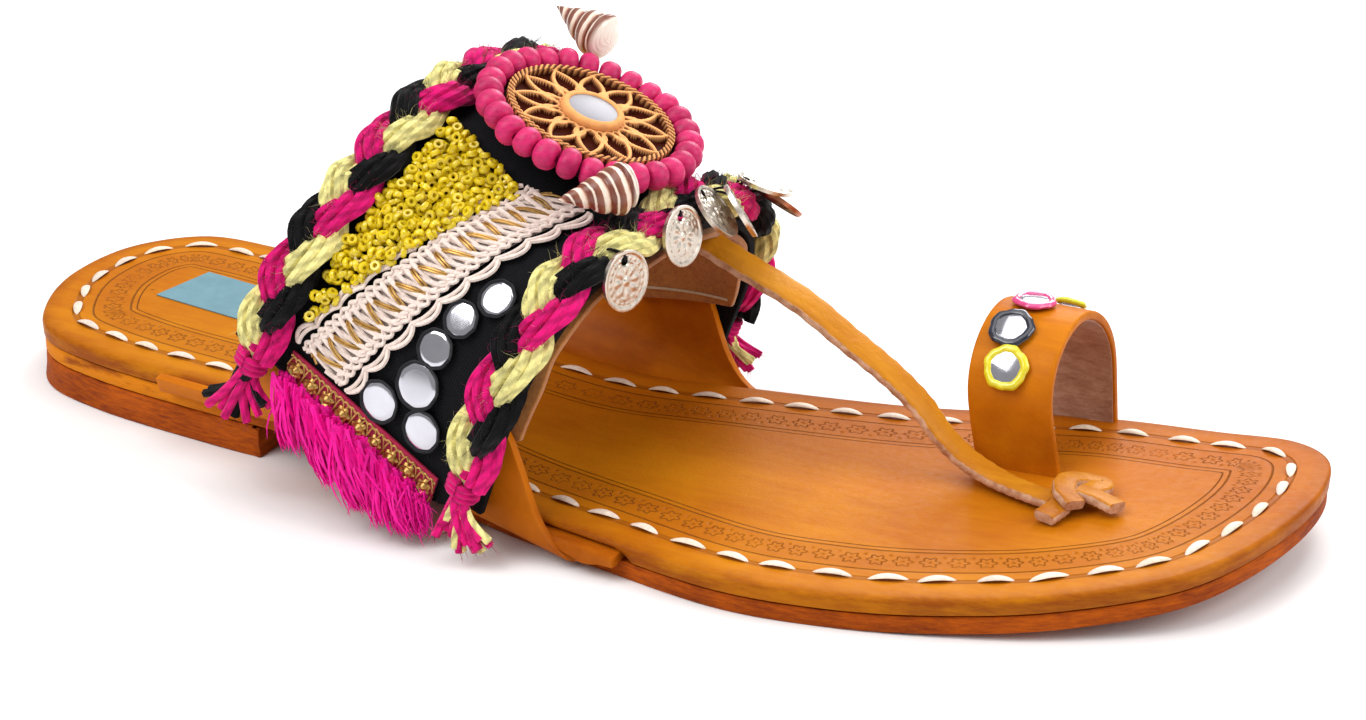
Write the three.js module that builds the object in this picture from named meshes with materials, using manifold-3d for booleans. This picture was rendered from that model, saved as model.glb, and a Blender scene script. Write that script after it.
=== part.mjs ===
// Kolhapuri sandal for the right foot: flat leather sole, decorated instep band, toe loop and thong.
// Millimetres. +X runs from heel to toe, +Y to the inner side of the foot, +Z up.
// The origin lies on the floor under the middle of the heel.
import * as THREE from "three";
import { mergeVertices } from "three/addons/utils/BufferGeometryUtils.js";
import Module from "manifold-3d";

const wasm = await Module();
wasm.setup();

// Overall sizes
const footLength = 266;
const ballWidth = 94;
const instepHeight = 76;
const heelBehindOrigin = 34;
const clearance = 0.3;

// Sole layers
const insoleThickness = 3.3;
const outsoleThickness = 3.3;
const heelLiftHeight = 6.1;
const heelLiftLength = 73;
const heelFlare = 0.6;
const toeSpring = 7;
const archDropLength = 64;
const toeSpringLength = 71;
const edgeRounding = 0.7;
const outsoleInset = 0.3;

// Ears: side leather that starts between the sole layers and climbs under the band
const earThickness = 1.8;
const earSkive = 1.6;
const earTuck = 8.2;
const earLength = 108;
const earStart = 51;

// Instep band
const bandPitch = 48;
const bandWall = 1.9;
const bandHem = 5.2;
const liningThickness = 1.5;
const liningClearance = 0.75;
const crownLift = 5;
const frontPush = 1.5;
const backPush = -0.8;

// Braids
const braidTurns = 4.7;
const braidSwing = 2.8;
const braidWeave = 1.2;
const strandHalfWidth = 2.6;
const strandHalfHeight = 1.9;
const strandSides = 4;
const strandFill = 1.12;
const strandSteps = 24;

// Trims on the band
const trimSeat = clearance + 0.2;
const laceThickness = 1.3;
const seedBeadHeight = 2.2;
const gotaHeight = 1.8;
const furLength = 14;
const furLocks = 9;
const mirrorThickness = 0.8;
const mirrorSeat = 0.25;
const mirrorBevel = 0.4;

// Medallion and bead ring
const ringRadius = 19.4;
const beadRadius = 2.9;
const beadCount = 28;
const beadThread = 1.2;
const medallionThickness = 3;
const medallionTilt = 21;
const medallionSeat = 3.6;
const medallionRim = 1.5;
const rimStep = 0.5;
const petalCount = 12;
const petalHalfWidth = 2.5;
const petalFloor = 0.8;
const petalMargin = 1.1;
const centreMirrorRadius = 5;
const centreMirrorHeight = 1.3;
const mirrorBezel = 1.2;

// Shells and coins
const shellLength = 15;
const shellRadius = 4.7;
const coinRadius = 5.6;
const coinThickness = 0.7;
const coinHoleRadius = 0.9;
const coinHoleInset = 1.9;

// Toe loop, its mirrors and the thong
const loopWidth = 16.5;
const loopThickness = 1.8;
const loopSpan = 28.4;
const loopHeight = 26.2;
const loopCentreAlong = 0.784 * footLength;
const loopCentreAcross = 0.3085 * ballWidth;
const thongWidth = 4.6;
const thongThickness = 2.2;

const degree = Math.PI / 180;
const V = (x, y, z) => new THREE.Vector3(x, y, z);
const mix = (a, b, t) => a + (b - a) * t;
const smooth = (a, b, x) => THREE.MathUtils.smoothstep(x, a, b);
const sandal = new THREE.Group();

// Colours and finishes of the real materials
const FINISH = {
  tan: { color: 0xc9781c, roughness: 0.45 },
  brown: { color: 0x8a3c12, roughness: 0.6 },
  suede: { color: 0xa87a5c, roughness: 0.95 },
  cloth: { color: 0x0b0b0d, roughness: 0.9 },
  braid: { color: 0xd4105c, roughness: 1 },
  lace: { color: 0xe6d6cc, roughness: 0.95 },
  yellow: { color: 0xd9c21c, roughness: 0.5 },
  gold: { color: 0xb5813c, roughness: 0.45, metalness: 0.6 },
  fur: { color: 0xe0109a, roughness: 1 },
  wood: { color: 0xd8a56a, roughness: 0.6 },
  bead: { color: 0xd43a80, roughness: 0.4 },
  shell: { color: 0xb99070, roughness: 0.4 },
  coin: { color: 0xc8c4bc, roughness: 0.3, metalness: 0.9 },
  mirror: { color: 0xdde0e6, roughness: 0.08, metalness: 1 },
};

// Adds one named sub-part with its own material.
function add(name, geometry, finish) {
  const mesh = new THREE.Mesh(geometry, new THREE.MeshStandardMaterial(FINISH[finish]));
  mesh.name = name;
  sandal.add(mesh);
}

// Makes a geometry from points and triangles, and turns its faces outward.
function bodyOf(points, faces) {
  let volume = 0;
  for (const [a, b, c] of faces) {
    volume += points[a].dot(points[b].clone().cross(points[c]));
  }
  const order = volume < 0 ? faces.map(([a, b, c]) => [a, c, b]) : faces;
  const geometry = new THREE.BufferGeometry().setFromPoints(points);
  geometry.setIndex(order.flat());
  return geometry;
}

// Joins a row of equal rings into one body. A looped row closes on itself, any other gets two caps.
function loft(rings, looped = false) {
  const count = rings[0].length;
  const points = rings.flat();
  const faces = [];
  const last = looped ? rings.length : rings.length - 1;
  for (let i = 0; i < last; i += 1) {
    const here = i * count;
    const next = ((i + 1) % rings.length) * count;
    for (let j = 0; j < count; j += 1) {
      const k = (j + 1) % count;
      faces.push([here + j, here + k, next + k], [here + j, next + k, next + j]);
    }
  }
  if (!looped) {
    for (const [ring, start, flip] of [[rings[0], 0, true], [rings.at(-1), points.length - count, false]]) {
      const middle = points.length;
      points.push(ring.reduce((sum, p) => sum.add(p), V(0, 0, 0)).divideScalar(count));
      for (let j = 0; j < count; j += 1) {
        const k = (j + 1) % count;
        faces.push(flip ? [start + k, start + j, middle] : [start + j, start + k, middle]);
      }
    }
  }
  return bodyOf(points, faces);
}

// Closes two equal grids of points into one wall: the outer face, the inner face and the rim.
function wall(outer, inner) {
  const rows = outer.length;
  const columns = outer[0].length;
  const points = [...outer.flat(), ...inner.flat()];
  const back = rows * columns;
  const faces = [];
  const quad = (a, b, c, d) => faces.push([a, b, c], [a, c, d]);
  for (let i = 0; i + 1 < rows; i += 1) {
    for (let j = 0; j + 1 < columns; j += 1) {
      const a = i * columns + j;
      quad(a, a + 1, a + columns + 1, a + columns);
      quad(back + a, back + a + columns, back + a + columns + 1, back + a + 1);
    }
  }
  for (let i = 0; i + 1 < rows; i += 1) {
    const a = i * columns;
    const b = a + columns - 1;
    quad(a + columns, back + a + columns, back + a, a);
    quad(b, back + b, back + b + columns, b + columns);
  }
  for (let j = 0; j + 1 < columns; j += 1) {
    const b = (rows - 1) * columns + j;
    quad(j, back + j, back + j + 1, j + 1);
    quad(b + 1, back + b + 1, back + b, b);
  }
  return bodyOf(points, faces);
}

const grid = (rows, columns, at) => Array.from({ length: rows + 1 }, (_, i) =>
  Array.from({ length: columns + 1 }, (_, j) => at(i / rows, j / columns)));

// Sweeps a flat-oval section along a path. The up vector may change along the path.
function sweep(path, section, up, looped = false) {
  const count = path.length;
  return loft(path.map((p, i) => {
    const before = looped ? path[(i + count - 1) % count] : path[Math.max(i - 1, 0)];
    const after = looped ? path[(i + 1) % count] : path[Math.min(i + 1, count - 1)];
    const along = after.clone().sub(before).normalize();
    const lift = up(i).clone().addScaledVector(along, -up(i).dot(along)).normalize();
    const side = along.clone().cross(lift);
    return section(i).map(([a, b]) => p.clone().addScaledVector(side, a).addScaledVector(lift, b));
  }), looped);
}

const oval = (halfWidth, halfHeight, sides = 6) => Array.from({ length: sides }, (_, k) => {
  const turn = (k + 0.5) * 2 * Math.PI / sides;
  return [halfWidth * Math.cos(turn), halfHeight * Math.sin(turn)];
});

function solid(geometry) {
  const bare = geometry.clone();
  bare.deleteAttribute("normal");
  bare.deleteAttribute("uv");
  const merged = mergeVertices(bare);
  return new wasm.Manifold(new wasm.Mesh({
    numProp: 3,
    vertProperties: new Float32Array(merged.attributes.position.array),
    triVerts: new Uint32Array(merged.index.array),
  }));
}

function shape(body) {
  const mesh = body.getMesh();
  const geometry = new THREE.BufferGeometry();
  geometry.setAttribute("position", new THREE.BufferAttribute(new Float32Array(mesh.vertProperties), 3));
  geometry.setIndex(Array.from(mesh.triVerts));
  return geometry;
}

// Joins pieces that touch into one body. Pockets shut in between them are filled.
function joined(pieces) {
  const skins = pieces.map(solid).reduce((sum, piece) => sum.add(piece)).decompose();
  return shape(skins.reduce((most, skin) => (skin.volume() > most.volume() ? skin : most)));
}

// A smooth run through a row of points. Past its ends it goes straight on.
function through(row, t) {
  const last = row.length - 1;
  const place = t * last;
  const i = THREE.MathUtils.clamp(Math.floor(place), 0, last - 1);
  const f = THREE.MathUtils.clamp(place - i, 0, 1);
  const [b, c] = [row[i], row[i + 1]];
  const a = i > 0 ? row[i - 1] : b.clone().multiplyScalar(2).sub(c);
  const d = i + 2 <= last ? row[i + 2] : c.clone().multiplyScalar(2).sub(b);
  const slopeB = c.clone().sub(a).multiplyScalar(0.5);
  const slopeC = d.clone().sub(b).multiplyScalar(0.5);
  const point = b.clone().multiplyScalar(1 - 3 * f * f + 2 * f * f * f)
    .addScaledVector(c, 3 * f * f - 2 * f * f * f)
    .addScaledVector(slopeB, f - 2 * f * f + f * f * f)
    .addScaledVector(slopeC, f * f * f - f * f);
  const beyond = place - i - f;
  return point.addScaledVector(beyond < 0 ? slopeB : slopeC, beyond);
}

// Sole outline
// Shares of foot length and ball width, from the heel along the inner edge to the toe and back.
const OUTLINE = [
  { along: 0.000, across: -0.011 }, { along: 0.004, across: 0.195 }, { along: 0.044, across: 0.331 },
  { along: 0.112, across: 0.348 }, { along: 0.225, across: 0.302 }, { along: 0.337, across: 0.228 },
  { along: 0.453, across: 0.224 }, { along: 0.567, across: 0.285 }, { along: 0.681, across: 0.357 },
  { along: 0.752, across: 0.428 }, { along: 0.826, across: 0.479 }, { along: 0.902, across: 0.473 },
  { along: 0.959, across: 0.450 }, { along: 0.991, across: 0.362 }, { along: 1.000, across: 0.143 },
  { along: 0.962, across: -0.177 }, { along: 0.893, across: -0.334 }, { along: 0.819, across: -0.428 },
  { along: 0.750, across: -0.488 }, { along: 0.676, across: -0.519 }, { along: 0.562, across: -0.476 },
  { along: 0.450, across: -0.422 }, { along: 0.338, across: -0.383 }, { along: 0.225, across: -0.371 },
  { along: 0.113, across: -0.340 }, { along: 0.056, across: -0.289 }, { along: 0.024, across: -0.183 },
];
const outlineSamples = 420;
const outlinePoints = new THREE.CatmullRomCurve3(
  OUTLINE.map((row) => V(row.along * footLength - heelBehindOrigin, row.across * ballWidth, 0)), true,
).getPoints(outlineSamples).slice(0, outlineSamples);

// The outline moved inward by an inset, or outward where the inset is below zero.
function insetOutline(inset) {
  return outlinePoints.map((p, i) => {
    const before = outlinePoints[(i + outlineSamples - 1) % outlineSamples];
    const after = outlinePoints[(i + 1) % outlineSamples];
    const along = after.clone().sub(before).normalize();
    return V(p.x - along.y * -inset, p.y + along.x * -inset, 0);
  });
}

// The two edges of an outline at one place along the foot.
function edgesAt(outline, x) {
  const crossings = [];
  for (let i = 0; i < outline.length; i += 1) {
    const p = outline[i];
    const q = outline[(i + 1) % outline.length];
    if ((p.x - x) * (q.x - x) <= 0 && p.x !== q.x) {
      crossings.push(mix(p.y, q.y, (x - p.x) / (q.x - p.x)));
    }
  }
  return { outer: Math.min(...crossings), inner: Math.max(...crossings) };
}

const fullOutline = insetOutline(0);
const heelBreast = heelLiftLength - heelBehindOrigin;
const toeTip = footLength - heelBehindOrigin;
const springStart = toeTip - toeSpringLength;

// Height of the underside of the outsole, on the heel, down the arch, flat, then up at the toe.
function floorGap(x) {
  const heel = (heelLiftHeight + clearance) * (1 - smooth(heelBreast, heelBreast + archDropLength, x));
  const toe = toeSpring * Math.max(0, (x - springStart) / toeSpringLength) ** 2;
  return heel + toe;
}
const outsoleTop = (x) => floorGap(x) + outsoleThickness;
const insoleBottom = (x) => outsoleTop(x) + clearance;
const insoleTop = (x) => insoleBottom(x) + insoleThickness;

// A leather layer of the sole. Its lower rim may be cut back to let the ears in.
const earRear = earStart - heelBehindOrigin;
const earFront = earRear + earLength;
const rebateRamp = 2;
const EAR_ENDS = [
  earRear - 1.5 * rebateRamp, earRear - 0.5 * rebateRamp,
  earFront + 0.5 * rebateRamp, earFront + 1.5 * rebateRamp,
];
const earRebate = (x) => (earSkive + clearance)
  * smooth(EAR_ENDS[0], EAR_ENDS[1], x) * (1 - smooth(EAR_ENDS[2], EAR_ENDS[3], x));
const soleStations = 24;
const endTrim = 0.05;
function soleLayer({ inset, from = -Infinity, to = Infinity, bottom, top, rebate = () => 0, flare = 0 }) {
  const outline = insetOutline(inset);
  const low = Math.min(...outline.map((p) => p.x)) + endTrim;
  const high = Math.max(...outline.map((p) => p.x)) - endTrim;
  const start = Math.max(low, from);
  const end = Math.min(high, to);
  const rings = [];
  const places = Array.from({ length: soleStations + 1 }, (_, i) =>
    mix(low, high, (1 - Math.cos(Math.PI * i / soleStations)) / 2));
  const bounds = [from, to, ...EAR_ENDS].filter((x) => x > low && x < high);
  const inside = [...places, ...bounds].filter((place) => place >= start && place <= end);
  for (const x of inside.sort((a, b) => a - b)) {
    const { outer, inner } = edgesAt(outline, x);
    const width = inner - outer;
    const tuck = Math.min(earTuck + clearance, width * 0.3);
    const soft = Math.min(edgeRounding, width * 0.1);
    const low0 = bottom(x);
    const high0 = top(x);
    const rise = rebate(x);
    rings.push([
      V(x, outer + tuck + soft, low0), V(x, outer + tuck, low0 + rise),
      V(x, outer - flare + (flare ? 0 : soft * 0.4), low0 + rise),
      V(x, outer, (low0 + rise + high0) / 2), V(x, outer + soft * 0.3, high0 - soft * 0.7),
      V(x, outer + soft, high0), V(x, (outer + inner) / 2, high0), V(x, inner - soft, high0),
      V(x, inner - soft * 0.3, high0 - soft * 0.7), V(x, inner, (low0 + rise + high0) / 2),
      V(x, inner + flare - (flare ? 0 : soft * 0.4), low0 + rise),
      V(x, inner - tuck, low0 + rise), V(x, inner - tuck - soft, low0),
    ]);
  }
  return loft(rings);
}

// Instep band surface
// Rails of the two braid lines, from the outer side over the instep to the inner side,
// as shares of foot length, ball width and instep height.
const BACK_RAIL = [
  { along: 0.3113, across: -0.530, up: 0.349 }, { along: 0.3320, across: -0.503, up: 0.539 },
  { along: 0.3534, across: -0.424, up: 0.708 }, { along: 0.3714, across: -0.307, up: 0.838 },
  { along: 0.3876, across: -0.170, up: 0.938 }, { along: 0.3981, across: -0.011, up: 0.965 },
  { along: 0.4015, across: 0.198, up: 0.930 }, { along: 0.3816, across: 0.349, up: 0.790 },
  { along: 0.3519, across: 0.435, up: 0.595 }, { along: 0.3233, across: 0.441, up: 0.355 },
];
const FRONT_RAIL = [
  { along: 0.4898, across: -0.564, up: 0.164 }, { along: 0.5079, across: -0.547, up: 0.374 },
  { along: 0.5282, across: -0.489, up: 0.567 }, { along: 0.5451, across: -0.362, up: 0.704 },
  { along: 0.5541, across: -0.188, up: 0.738 }, { along: 0.5586, across: -0.011, up: 0.734 },
  { along: 0.5586, across: 0.163, up: 0.676 }, { along: 0.5519, across: 0.315, up: 0.562 },
  { along: 0.5361, across: 0.394, up: 0.380 }, { along: 0.5150, across: 0.394, up: 0.171 },
];
const rail = (rows) => rows.map((row) =>
  V(row.along * footLength - heelBehindOrigin, row.across * ballWidth, row.up * instepHeight));
const backRail = rail(BACK_RAIL);
const frontRail = rail(FRONT_RAIL);

// u runs from the back braid (0) to the front braid (1), v from the outer hem (0) to the inner hem (1).
const onRails = (u, v) => through(backRail, v).lerp(through(frontRail, v), u);
function bandNormal(u, v) {
  const step = 0.001;
  const forward = onRails(u + step, v).sub(onRails(u - step, v));
  const over = onRails(u, v + step).sub(onRails(u, v - step));
  return forward.cross(over).normalize();
}
const crown = (u, v) => crownLift * Math.sin(Math.PI * THREE.MathUtils.clamp(u, 0, 1))
  * smooth(0.36, 0.48, v) * (1 - smooth(0.59, 0.71, v));
// The rails are the middle lines of the braids, so the cloth lies under them by half a braid.
const braidSeat = clearance + strandHalfHeight + braidWeave;
function band(u, v, h) {
  return onRails(u, v).addScaledVector(bandNormal(u, v), h + crown(u, v) - braidSeat);
}
const hem = bandHem / bandPitch;
// Where a braid passes the bead ring it is pushed aside, and the hem beside it too.
const pushed = (push, v) => (push / bandPitch) * smooth(0.30, 0.44, v) * (1 - smooth(0.58, 0.72, v));
const hemDrop = (u) => mix(0.012, -0.050, u);
const BAND_COLUMNS = [-hem, 0, 0.25, 0.5, 0.75, 1, 1 + hem];
const bandRows = 20;
const bandStrips = BAND_COLUMNS.length - 1;
function inWidth(s, v, inset) {
  const u = THREE.MathUtils.clamp(BAND_COLUMNS[Math.round(s * bandStrips)], inset - hem, 1 + hem - inset);
  return u + pushed(frontPush, v) * smooth(0.75, 1, u);
}

function bandWallPiece() {
  const at = (h) => (t, s) => {
    const level = mix(hemDrop(s), 1 - hemDrop(s), t);
    return band(inWidth(s, level, 0), level, h);
  };
  return wall(grid(bandRows, bandStrips, at(0)), grid(bandRows, bandStrips, at(-bandWall)));
}

// Lining: it ends in a pointed tab on each side, on the inner face of the ear.
const earTop = 0.12;
const tabPoint = 0.67;
const tabHigh = 0.13;
const tabLow = 0.015;
const liningInset = 0.035;
const liningDepth = (v) => {
  const overEar = 1 - smooth(earTop + 0.02, earTop + 0.10, Math.min(v, 1 - v));
  return bandWall + liningClearance + overEar * (earThickness + liningClearance);
};
function liningPiece() {
  const tab = (s) => mix(tabLow, tabHigh, Math.abs(s - tabPoint) / tabPoint);
  const at = (extra) => (t, s) => {
    const level = mix(tab(s), 1 - tab(s), t);
    return band(inWidth(s, level, liningInset), level, -liningDepth(level) - extra);
  };
  return wall(grid(bandRows, bandStrips, at(0)), grid(bandRows, bandStrips, at(liningThickness)));
}

// Ears
const OUTER = -1;
const INNER = 1;
// How far up towards the band each part of the ear reaches, from its rear end to its front end.
const EAR_REACH = [
  { along: 0, reach: 0.04 }, { along: 0.19, reach: 0.06 }, { along: 0.25, reach: 0.42 },
  { along: 0.33, reach: 1.0 }, { along: 0.74, reach: 1.0 }, { along: 0.79, reach: 0.82 },
  { along: 0.83, reach: 0.58 }, { along: 0.88, reach: 0.34 }, { along: 0.93, reach: 0.16 },
  { along: 0.97, reach: 0.06 }, { along: 1, reach: 0.04 },
];
const hemShare = 0.5;
const kneeDrop = 0.04;
const earRows = 16;
const climbSteps = 5;
function reachAt(t) {
  const i = Math.max(1, EAR_REACH.findIndex((row) => row.along >= t));
  const [low, high] = [EAR_REACH[i - 1], EAR_REACH[i]];
  return mix(low.reach, high.reach, (t - low.along) / (high.along - low.along));
}
function earPiece(side) {
  const edge = (x) => {
    const { outer, inner } = edgesAt(fullOutline, x);
    return side === OUTER ? outer : inner;
  };
  // Inward end, edge of the sole, foot of the bend, then up along the inside of the band
  const middle = (t) => {
    const x = mix(earRear, earFront, t);
    const level = outsoleTop(x) + clearance + earSkive / 2;
    const foot = V(x, edge(x) + side * (clearance + earThickness / 2 + edgeRounding), level);
    const underBand = (v) => {
      const place = side === OUTER ? v : 1 - v;
      const b = through(backRail, place);
      const f = through(frontRail, place);
      return band((x - b.x) / (f.x - b.x), place, -bandWall - liningClearance - earThickness / 2);
    };
    const hemPoint = underBand(0);
    const knee = hemPoint.clone().lerp(underBand(kneeDrop), -1);
    const climb = (rise) => {
      const part = Math.min(rise / hemShare, 1);
      return rise > hemShare ? underBand(mix(0, earTop, (rise - hemShare) / (1 - hemShare)))
        : foot.clone().multiplyScalar((1 - part) ** 2).addScaledVector(knee, 2 * part * (1 - part))
          .addScaledVector(hemPoint, part ** 2);
    };
    const rises = Array.from({ length: climbSteps }, (_, k) => climb(reachAt(t) * (k + 1) / climbSteps));
    return [V(x, edge(x) - side * earTuck, level), V(x, edge(x), level), foot, ...rises];
  };
  const face = (sign) => Array.from({ length: earRows + 1 }, (_, i) => {
    const path = middle(i / earRows);
    return path.map((p, j) => {
      const along = path[Math.min(j + 1, path.length - 1)].clone().sub(path[Math.max(j - 1, 0)]);
      const out = V(1, 0, 0).cross(along).normalize();
      return p.clone().addScaledVector(out, sign * (j < 2 ? earSkive : earThickness) / 2);
    });
  });
  return wall(face(1), face(-1));
}

// Braids: three strands that cross in turn, joined where they touch.
const braidEnd = 0.03;
function braidPiece(line) {
  const levels = Array.from({ length: strandSteps + 1 }, (_, i) =>
    mix(braidEnd, 1 - braidEnd, i / strandSteps));
  const section = oval(strandHalfWidth * strandFill, strandHalfHeight * strandFill, strandSides);
  const strand = (k) => {
    const path = levels.map((v) => {
      const phase = 2 * Math.PI * (braidTurns * v + k / 3);
      const u = line(v) + braidSwing * Math.sin(phase) / bandPitch;
      return band(u, v, braidSeat + braidWeave * Math.sin(2 * phase));
    });
    return sweep(path, () => section, (i) => bandNormal(line(levels[i]), levels[i]));
  };
  return joined([strand(0), strand(1), strand(2)]);
}

// A patch that lies on the band between four corners given as [u, v], raised by a height.
function patch(corners, rows, columns, low, high, relief = () => 0) {
  const [a, b, c, d] = corners;
  const spot = (t, s) => [0, 1].map((k) => mix(mix(a[k], b[k], s), mix(d[k], c[k], s), t));
  const at = (h, bumps) => (t, s) => {
    const [u, v] = spot(t, s);
    return band(u, v, h + (bumps ? relief(t, s) : 0));
  };
  return wall(grid(rows, columns, at(high, true)), grid(rows, columns, at(low, false)));
}
// The inner side of the band repeats the outer side about the middle of the instep.
const sided = (side, [u, v]) => [u, side === OUTER ? v : 1 - v];

// Lace strip and the bed of seed beads above it
const LACE = [[0.130, 0.066], [0.415, 0.034], [0.850, 0.420], [0.580, 0.388]];
const SEEDS = [[0.137, 0.150], [0.155, 0.102], [0.560, 0.388], [0.165, 0.428]];
const laceRows = 16;
const scallopDepth = 0.35;
function lacePiece(side) {
  const corners = LACE.map((corner) => sided(side, corner));
  const scallop = (t, s) => (s === 0 || s === 1 ? scallopDepth * (Math.round(t * laceRows) % 2) : 0);
  return patch(corners, laceRows, 2, trimSeat, trimSeat + laceThickness, scallop);
}
const seedRows = 8;
const seedColumns = 3;
const seedRelief = 0.6;
function seedPiece(side) {
  const corners = SEEDS.map((corner) => sided(side, corner));
  const bump = (t, s) => (Math.round(t * seedRows + s * seedColumns) % 2 ? seedRelief : 0);
  return patch(corners, seedRows, seedColumns, trimSeat, trimSeat + seedBeadHeight - seedRelief, bump);
}

// Gold trim along the hem, and the fur below it
const GOTA = [[0.125, 0.010], [0.125, 0.042], [0.865, -0.011], [0.865, -0.042]];
const gotaRows = 16;
const gotaRelief = 0.5;
function gotaPiece(side) {
  const corners = GOTA.map((corner) => sided(side, corner));
  const knots = (t) => (Math.round(t * gotaRows) % 2 ? gotaRelief : 0);
  return patch(corners, gotaRows, 1, trimSeat, trimSeat + gotaHeight - gotaRelief, knots);
}

// A lock or strand that hangs from a root point to a tip and grows thin.
const lockSides = 4;
const lockTaper = 0.55;
function lock(root, tip, width, sag, steps) {
  const path = Array.from({ length: steps + 1 }, (_, i) => {
    const t = i / steps;
    return root.clone().lerp(tip, t).add(V(0, 0, sag * Math.sin(Math.PI * t)));
  });
  const girth = (i) => width * (1 - lockTaper * i / steps);
  return sweep(path, (i) => oval(girth(i), girth(i), lockSides), () => V(1, 0.2, 0.1));
}

const furFloorGap = 5;
const furRadius = 3.1;
const furSeat = 3.4;
const furSag = 1.2;
const furDrift = 5.5;
function furPiece(side) {
  const locks = [];
  for (let k = 0; k < furLocks; k += 1) {
    const t = (k + 0.5) / furLocks;
    const u = mix(0.14, 0.82, t);
    const [ru, rv] = sided(side, [u, mix(0.014, -0.038, t)]);
    const root = band(ru, rv, clearance + gotaHeight + furSeat);
    const out = side * (1.5 + 1.5 * (k % 2));
    const reach = Math.min(furLength * (k % 2 ? 1 : 0.82), root.z - furFloorGap);
    locks.push(lock(root, root.clone().add(V(furDrift, out, -reach)), furRadius, furSag, 2));
  }
  return joined(locks);
}

// Loose yarn ends where each braid leaves the hem.
const tasselGap = 0.016;
const yarnRadius = 1.6;
const YARN_ENDS = [
  { forward: -9, out: 2.5, down: -8.5 }, { forward: -4.5, out: 3, down: -11 },
  { forward: 0.5, out: 3, down: -11.5 }, { forward: 5, out: 2, down: -8.5 },
];
function tasselPiece(side, u, turn, reach) {
  const [, below] = sided(side, [u, braidEnd - tasselGap]);
  const root = band(u, below, braidSeat);
  const strands = YARN_ENDS.map((end) => lock(root,
    root.clone().add(V(end.forward * turn, side * end.out, end.down * reach)), yarnRadius, 0, 1));
  return joined(strands);
}

// Medallion: its own frame leans forward with the band.
const medallionCentre = band(0.525, 0.533, medallionSeat);
const lean = medallionTilt * degree;
const ahead = V(Math.cos(lean), 0, -Math.sin(lean));
const across = V(0, 1, 0);
const faceOut = ahead.clone().cross(across);
const onMedallion = (a, b, h) => medallionCentre.clone()
  .addScaledVector(ahead, a).addScaledVector(across, b).addScaledVector(faceOut, h);
function seatOnMedallion(geometry) {
  const place = new THREE.Matrix4().makeBasis(ahead, across, faceOut).setPosition(medallionCentre);
  return geometry.applyMatrix4(place);
}
const discRadius = ringRadius - beadRadius - clearance;

function turned(profile, sides) {
  const geometry = new THREE.LatheGeometry(profile.map(([r, h]) => new THREE.Vector2(r, h)), sides);
  geometry.rotateX(Math.PI / 2);
  return geometry;
}

// A flat round mirror in a raised frame
const glassDrop = 0.4;
function framedMirror(radius, frame, height, sides) {
  return turned([[0, 0], [radius + frame, 0], [radius + frame / 2, height], [radius, height],
    [radius - glassDrop, height - glassDrop], [0, height - glassDrop]], sides);
}

function medallionPiece() {
  const half = medallionThickness / 2;
  const field = discRadius - medallionRim;
  const disc = turned([[0, -half], [discRadius, -half], [discRadius, half],
    [field, half], [field - rimStep, half - rimStep], [0, half - rimStep]], 30);
  let carved = solid(disc);
  const inside = centreMirrorRadius + mirrorBezel + rimStep;
  const reach = field - petalMargin - inside;
  for (let k = 0; k < petalCount; k += 1) {
    const petal = new THREE.Shape();
    petal.moveTo(inside, 0);
    petal.quadraticCurveTo(inside + reach / 2, petalHalfWidth, inside + reach, 0);
    petal.quadraticCurveTo(inside + reach / 2, -petalHalfWidth, inside, 0);
    const cut = new THREE.ExtrudeGeometry(petal, {
      depth: medallionThickness, bevelEnabled: false, curveSegments: 3,
    });
    cut.translate(0, 0, -half + petalFloor);
    cut.rotateZ(2 * Math.PI * k / petalCount);
    carved = carved.subtract(solid(cut));
  }
  return seatOnMedallion(shape(carved));
}

// A bead from its hole over its round: share of the spacing and radius.
const BEAD_PARTS = [[0, beadThread], [0.28, beadRadius], [0.72, beadRadius]];
function beadRingPiece() {
  const rings = [];
  for (let k = 0; k < beadCount; k += 1) {
    for (const [part, radius] of BEAD_PARTS) {
      const turn = 2 * Math.PI * (k + part) / beadCount;
      const out = V(Math.cos(turn), Math.sin(turn), 0);
      rings.push(oval(radius, radius).map(([a, b]) =>
        onMedallion(out.x * (ringRadius + a), out.y * (ringRadius + a), b)));
    }
  }
  return loft(rings, true);
}

function centreMirrorPiece() {
  const base = medallionThickness / 2 - rimStep + clearance;
  return seatOnMedallion(framedMirror(centreMirrorRadius, mirrorBezel, centreMirrorHeight, 16)
    .translate(0, 0, base));
}

// Round mirrors sewn on the cloth of each side
const BAND_MIRRORS = [
  { u: 0.783, v: 0.246, radius: 3.2 }, { u: 0.703, v: 0.199, radius: 3.1 },
  { u: 0.668, v: 0.149, radius: 3.3 }, { u: 0.666, v: 0.094, radius: 4.1 },
  { u: 0.537, v: 0.046, radius: 3.7 }, { u: 0.742, v: 0.040, radius: 3.6 },
];
function mirrorPiece({ u, v, radius }, side) {
  const [mu, mv] = sided(side, [u, v]);
  const centre = band(mu, mv, 0);
  const out = bandNormal(mu, mv);
  const over = band(mu, mv + 0.01, 0).sub(centre).normalize();
  const beside = over.clone().cross(out).normalize();
  const place = new THREE.Matrix4().makeBasis(beside, over, out).setPosition(centre);
  const low = clearance + mirrorSeat;
  return turned([[0, low], [radius, low], [radius - mirrorBevel, low + mirrorThickness],
    [0, low + mirrorThickness]], 10).applyMatrix4(place);
}

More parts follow.
